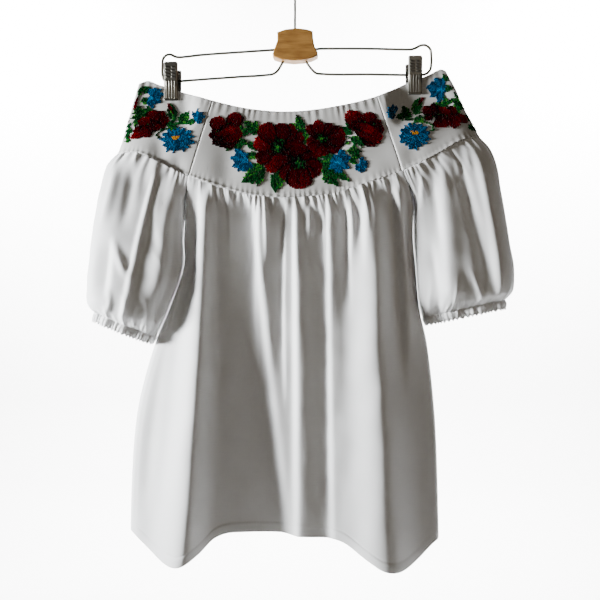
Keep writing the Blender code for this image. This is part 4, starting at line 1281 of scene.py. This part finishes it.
RoutePoint = namedtuple("RoutePoint", "run x y z")
LEFT_WIRE = (
    Spot(-24, -83.3), Spot(-72, -86.5), Spot(-121, -90), Spot(-148, -93), Spot(-155, -92.5),
    Spot(-162, -89.5), Spot(-168, -91), Spot(-171.6, -96), Spot(-172.4, -106), Spot(-172.4, -115),
    Spot(-171, -121), Spot(-167.5, -124.4), Spot(-161, -124.5), Spot(-154, -124.5),
    Spot(-121, -122), Spot(-72, -118.5), Spot(-31, -115.5), Spot(-23, -111), Spot(-15, -98),
)
RIGHT_WIRE = (
    Spot(24, -83.3), Spot(34, -82), Spot(98, -82), Spot(150, -83), Spot(157, -81),
    Spot(163, -77.8), Spot(170, -77.6), Spot(176, -83), Spot(177.2, -94), Spot(177, -104),
    Spot(175, -110.5), Spot(170, -114.8), Spot(163, -116.2), Spot(149, -116.2), Spot(98, -115.4),
    Spot(30, -114.5), Spot(22, -109), Spot(14, -98),
)
BLOCK_OUTLINE = (
    Spot(-23, -63), Spot(-12, -59.4), Spot(3, -58), Spot(15, -59.4), Spot(23, -62),
    Spot(23.6, -72), Spot(25.6, -82), Spot(29.4, -89), Spot(29.8, -93), Spot(22, -96.6),
    Spot(12, -99), Spot(-2, -100), Spot(-16, -98.6), Spot(-27, -95), Spot(-29, -91.5),
    Spot(-26.5, -84), Spot(-22.8, -74),
)


def smooth_route(corners, step=1.5):
    """Points at even steps on a smooth line through corners."""
    corners = np.asarray(corners, float)
    runs = np.concatenate([[0], np.cumsum(np.linalg.norm(np.diff(corners, axis=0), axis=1))])
    rows = [RoutePoint(run, *corner) for run, corner in zip(runs, corners)]
    places = np.linspace(0, runs[-1], int(runs[-1] / step))
    return np.stack([along(rows, "run", axis, places) for axis in "xyz"], axis=-1)


def build_block(name):
    """The outline is drawn smaller by its rubbed edge, because the edge's radius is added to it."""
    block = curve(
        name,
        np.array([(corner.x, corner.z, 0) for corner in BLOCK_OUTLINE], float),
        cyclic=True,
        dimensions="2D",
        fill_mode="BOTH",
        extrude=(BLOCK_THICK / 2 - BLOCK_EDGE) * MM,
        bevel_depth=BLOCK_EDGE * MM,
        bevel_resolution=4,
        offset=-BLOCK_EDGE * MM,
    )
    block.rotation_euler = (pi / 2, 0, 0)
    return block


for name, table in (("wire_left", LEFT_WIRE), ("wire_right", RIGHT_WIRE)):
    route = smooth_route([(point.x, 0, point.z) for point in table])
    metal[name] = wire(name + "_loop", route, WIRE_RADIUS)
turns = np.arange(-1, 14.1, 0.25) * pi / 12
bowl_z = HOOK_RADIUS - HOOK_BOWL
bowl = np.stack([0 * turns, HOOK_BOWL * np.cos(turns), bowl_z + HOOK_BOWL * np.sin(turns)], axis=-1)
stem = smooth_route([(0, 0, -57), (0, 0, -50), (0, 3, -42), (0, 12, -32), tuple(bowl[0])])
metal["hanger_hook"] = wire("hook", np.concatenate([stem[:-1], bowl]), HOOK_RADIUS)
block = build_block("block")
print("hanger:", sorted(name for name in metal if not name.startswith("clip")))

# %% [markdown]
# The steel is rolled sheet and drawn wire, so it is dark and satin rather than mirror bright. The
# wood is a light hardwood with a thin honey lacquer, and its grain runs from side to side.

# %% Weave, steel and wood


def value_node(tree, kind, **settings):
    """A node with its inputs and its own settings given by name."""
    node = tree.nodes.new(kind)
    for name, value in settings.items():
        if name in node.inputs:
            node.inputs[name].default_value = value
        else:
            setattr(node, name, value)
    return node


def effect_group(name, outputs):
    """An empty shader group with named outputs, for one effect that several finishes may share."""
    tree = bpy.data.node_groups.new(name, "ShaderNodeTree")
    for title, kind in outputs:
        tree.interface.new_socket(name=title, in_out="OUTPUT", socket_type=kind)
    return tree, tree.nodes.new("NodeGroupOutput")


def grain_group():
    """Wood grain: long streaks, bent a little, that mix two browns and rise and fall a little."""
    sockets = (("Color", "NodeSocketColor"), ("Height", "NodeSocketFloat"))
    tree, out = effect_group("wood_grain", sockets)
    place = tree.nodes.new("ShaderNodeTexCoord")
    stretch = value_node(tree, "ShaderNodeMapping", Scale=(30, 160, 420))
    streaks = value_node(tree, "ShaderNodeTexNoise", Scale=1.0, Detail=5.0, Roughness=0.55)
    shades = tree.nodes.new("ShaderNodeValToRGB")
    shades.color_ramp.elements[0].position = 0.32
    shades.color_ramp.elements[0].color = (0.23, 0.105, 0.026, 1)
    shades.color_ramp.elements[1].position = 0.66
    shades.color_ramp.elements[1].color = (0.42, 0.215, 0.060, 1)
    tree.links.new(place.outputs["Object"], stretch.inputs["Vector"])
    tree.links.new(stretch.outputs["Vector"], streaks.inputs["Vector"])
    tree.links.new(streaks.outputs["Fac"], shades.inputs["Fac"])
    tree.links.new(shades.outputs["Color"], out.inputs["Color"])
    tree.links.new(streaks.outputs["Fac"], out.inputs["Height"])
    return tree


def weave_group():
    """Plain weave: the height of threads that run both ways, about half a millimetre apart."""
    tree, out = effect_group("plain_weave", (("Height", "NodeSocketFloat"),))
    place = tree.nodes.new("ShaderNodeTexCoord")
    higher = value_node(tree, "ShaderNodeMath", operation="MAXIMUM")
    for i, way in enumerate("XZ"):
        threads = value_node(
            tree, "ShaderNodeTexWave", bands_direction=way, Scale=620.0, Distortion=0.7, Detail=1.0
        )
        tree.links.new(place.outputs["Object"], threads.inputs["Vector"])
        tree.links.new(threads.outputs["Fac"], higher.inputs[i])
    tree.links.new(higher.outputs["Value"], out.inputs["Height"])
    return tree


def use_group(material, shader, group, colour=None, bump=0.0, distance=0.001):
    """Puts a group into a material, its colour to the base and its height through a bump."""
    tree = material.node_tree
    node = tree.nodes.new("ShaderNodeGroup")
    node.node_tree = group
    if colour:
        tree.links.new(node.outputs[colour], shader.inputs["Base Color"])
    if bump:
        relief = value_node(tree, "ShaderNodeBump", Strength=bump, Distance=distance)
        tree.links.new(node.outputs["Height"], relief.inputs["Height"])
        tree.links.new(relief.outputs["Normal"], shader.inputs["Normal"])


steel = new_material("steel_looks", (0.15, 0.143, 0.125), 0.36, 1.0, Anisotropic=0.4)[0]
drawn = new_material("drawn_wire", (0.11, 0.10, 0.08), 0.34, 1.0)[0]
wood, wood_shader = new_material("wood_looks", (0.33, 0.15, 0.035), 0.5, Specular_IOR_Level=0.1)
use_group(wood, wood_shader, grain_group(), colour="Color", bump=0.15, distance=0.0003)

weave = weave_group()
use_group(cotton, cotton_shader, weave, bump=0.12, distance=0.0001)
use_group(yoke_painted_shade, yoke_painted_shade_shader, weave, bump=0.12, distance=0.0001)

for name, piece in metal.items():
    piece.data.materials.append(drawn if name.startswith(("wire", "hanger")) else steel)
    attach(piece, "root")
    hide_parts(name)
block.data.materials.append(wood)
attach(block, "root")
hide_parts("hanger_block")
print("metal pieces:", len(metal))

# %% [markdown]
# ## The stage and the light
#
# White paper runs down behind the blouse and forward under it, and two lamps light it. One lamp
# stands to the left, almost beside the cloth, so each fold has a bright flank and a dark one. A
# weak warm lamp at the front right and a warm sky keep the dark flanks from going black.

# %% Stage, light and camera
# The paper's section, y and z in metres
sweep = [(-0.25, -1.2), (1.4, -1.2), (1.7, -1.13), (1.86, -0.98), (1.95, -0.72), (1.95, 1.8)]
sweep_mesh = bpy.data.meshes.new("backdrop")
vertices = [(x, y, z) for y, z in sweep for x in (-3.6, 3.6)]
faces = [(2 * i, 2 * i + 1, 2 * i + 3, 2 * i + 2) for i in range(len(sweep) - 1)]
sweep_mesh.from_pydata(vertices, [], faces)
sweep_mesh.shade_smooth()
backdrop = add_object("backdrop", sweep_mesh)
paper = new_material("backdrop_paper", (0.93, 0.93, 0.93), 0.9)[0]
sweep_mesh.materials.append(paper)


def area_light(name, place, target, size, watts, colour, spread):
    """A round soft light; spread is the width of its beam in degrees."""
    data = bpy.data.lights.new(name, "AREA")
    data.shape = "DISK"
    data.size = size
    data.energy = watts
    data.color = colour
    data.spread = np.radians(spread)
    lamp = add_object(name, data)
    lamp.location = place
    way = Vector(target) - Vector(place)
    lamp.rotation_euler = way.to_track_quat("-Z", "Y").to_euler()


area_light("key", (-2.05, -0.42, -0.3), (0, 0, -0.42), 0.45, 26, (0.97, 0.99, 1.0), 60)
area_light("fill", (0.9, -2.2, 0.0), (0, 0, -0.42), 1.6, 1.2, (1.0, 0.88, 0.72), 60)
area_light("backdrop_left", (-1.2, 1.1, 0.9), (-0.3, 1.95, -0.4), 1.2, 180, (1, 1, 1), 120)
area_light("backdrop_right", (1.2, 1.1, 0.9), (0.3, 1.95, -0.4), 1.2, 180, (1, 1, 1), 120)

world = bpy.data.worlds.new("studio")
world.use_nodes = True
world.node_tree.nodes["Background"].inputs["Color"].default_value = (1.0, 0.90, 0.76, 1)
world.node_tree.nodes["Background"].inputs["Strength"].default_value = 0.02
bpy.context.scene.world = world

lens_data = bpy.data.cameras.new("camera")
lens_data.lens = 60.0
camera = add_object("camera", lens_data)
camera.location = (0.0065, -1.3, -0.4086)
camera.rotation_euler = (pi / 2, 0, 0)
bpy.context.scene.camera = camera

# %% [markdown]
# ## The cloth as sheets
#
# A sheet row gives a piece, the width and length that a maker would cut it to before the gathering
# thread and the elastic draw it up, its area, how it is held and what it rests on.

# %% Sheets
Sheet = namedtuple("Sheet", "piece wide long area held rests_on")
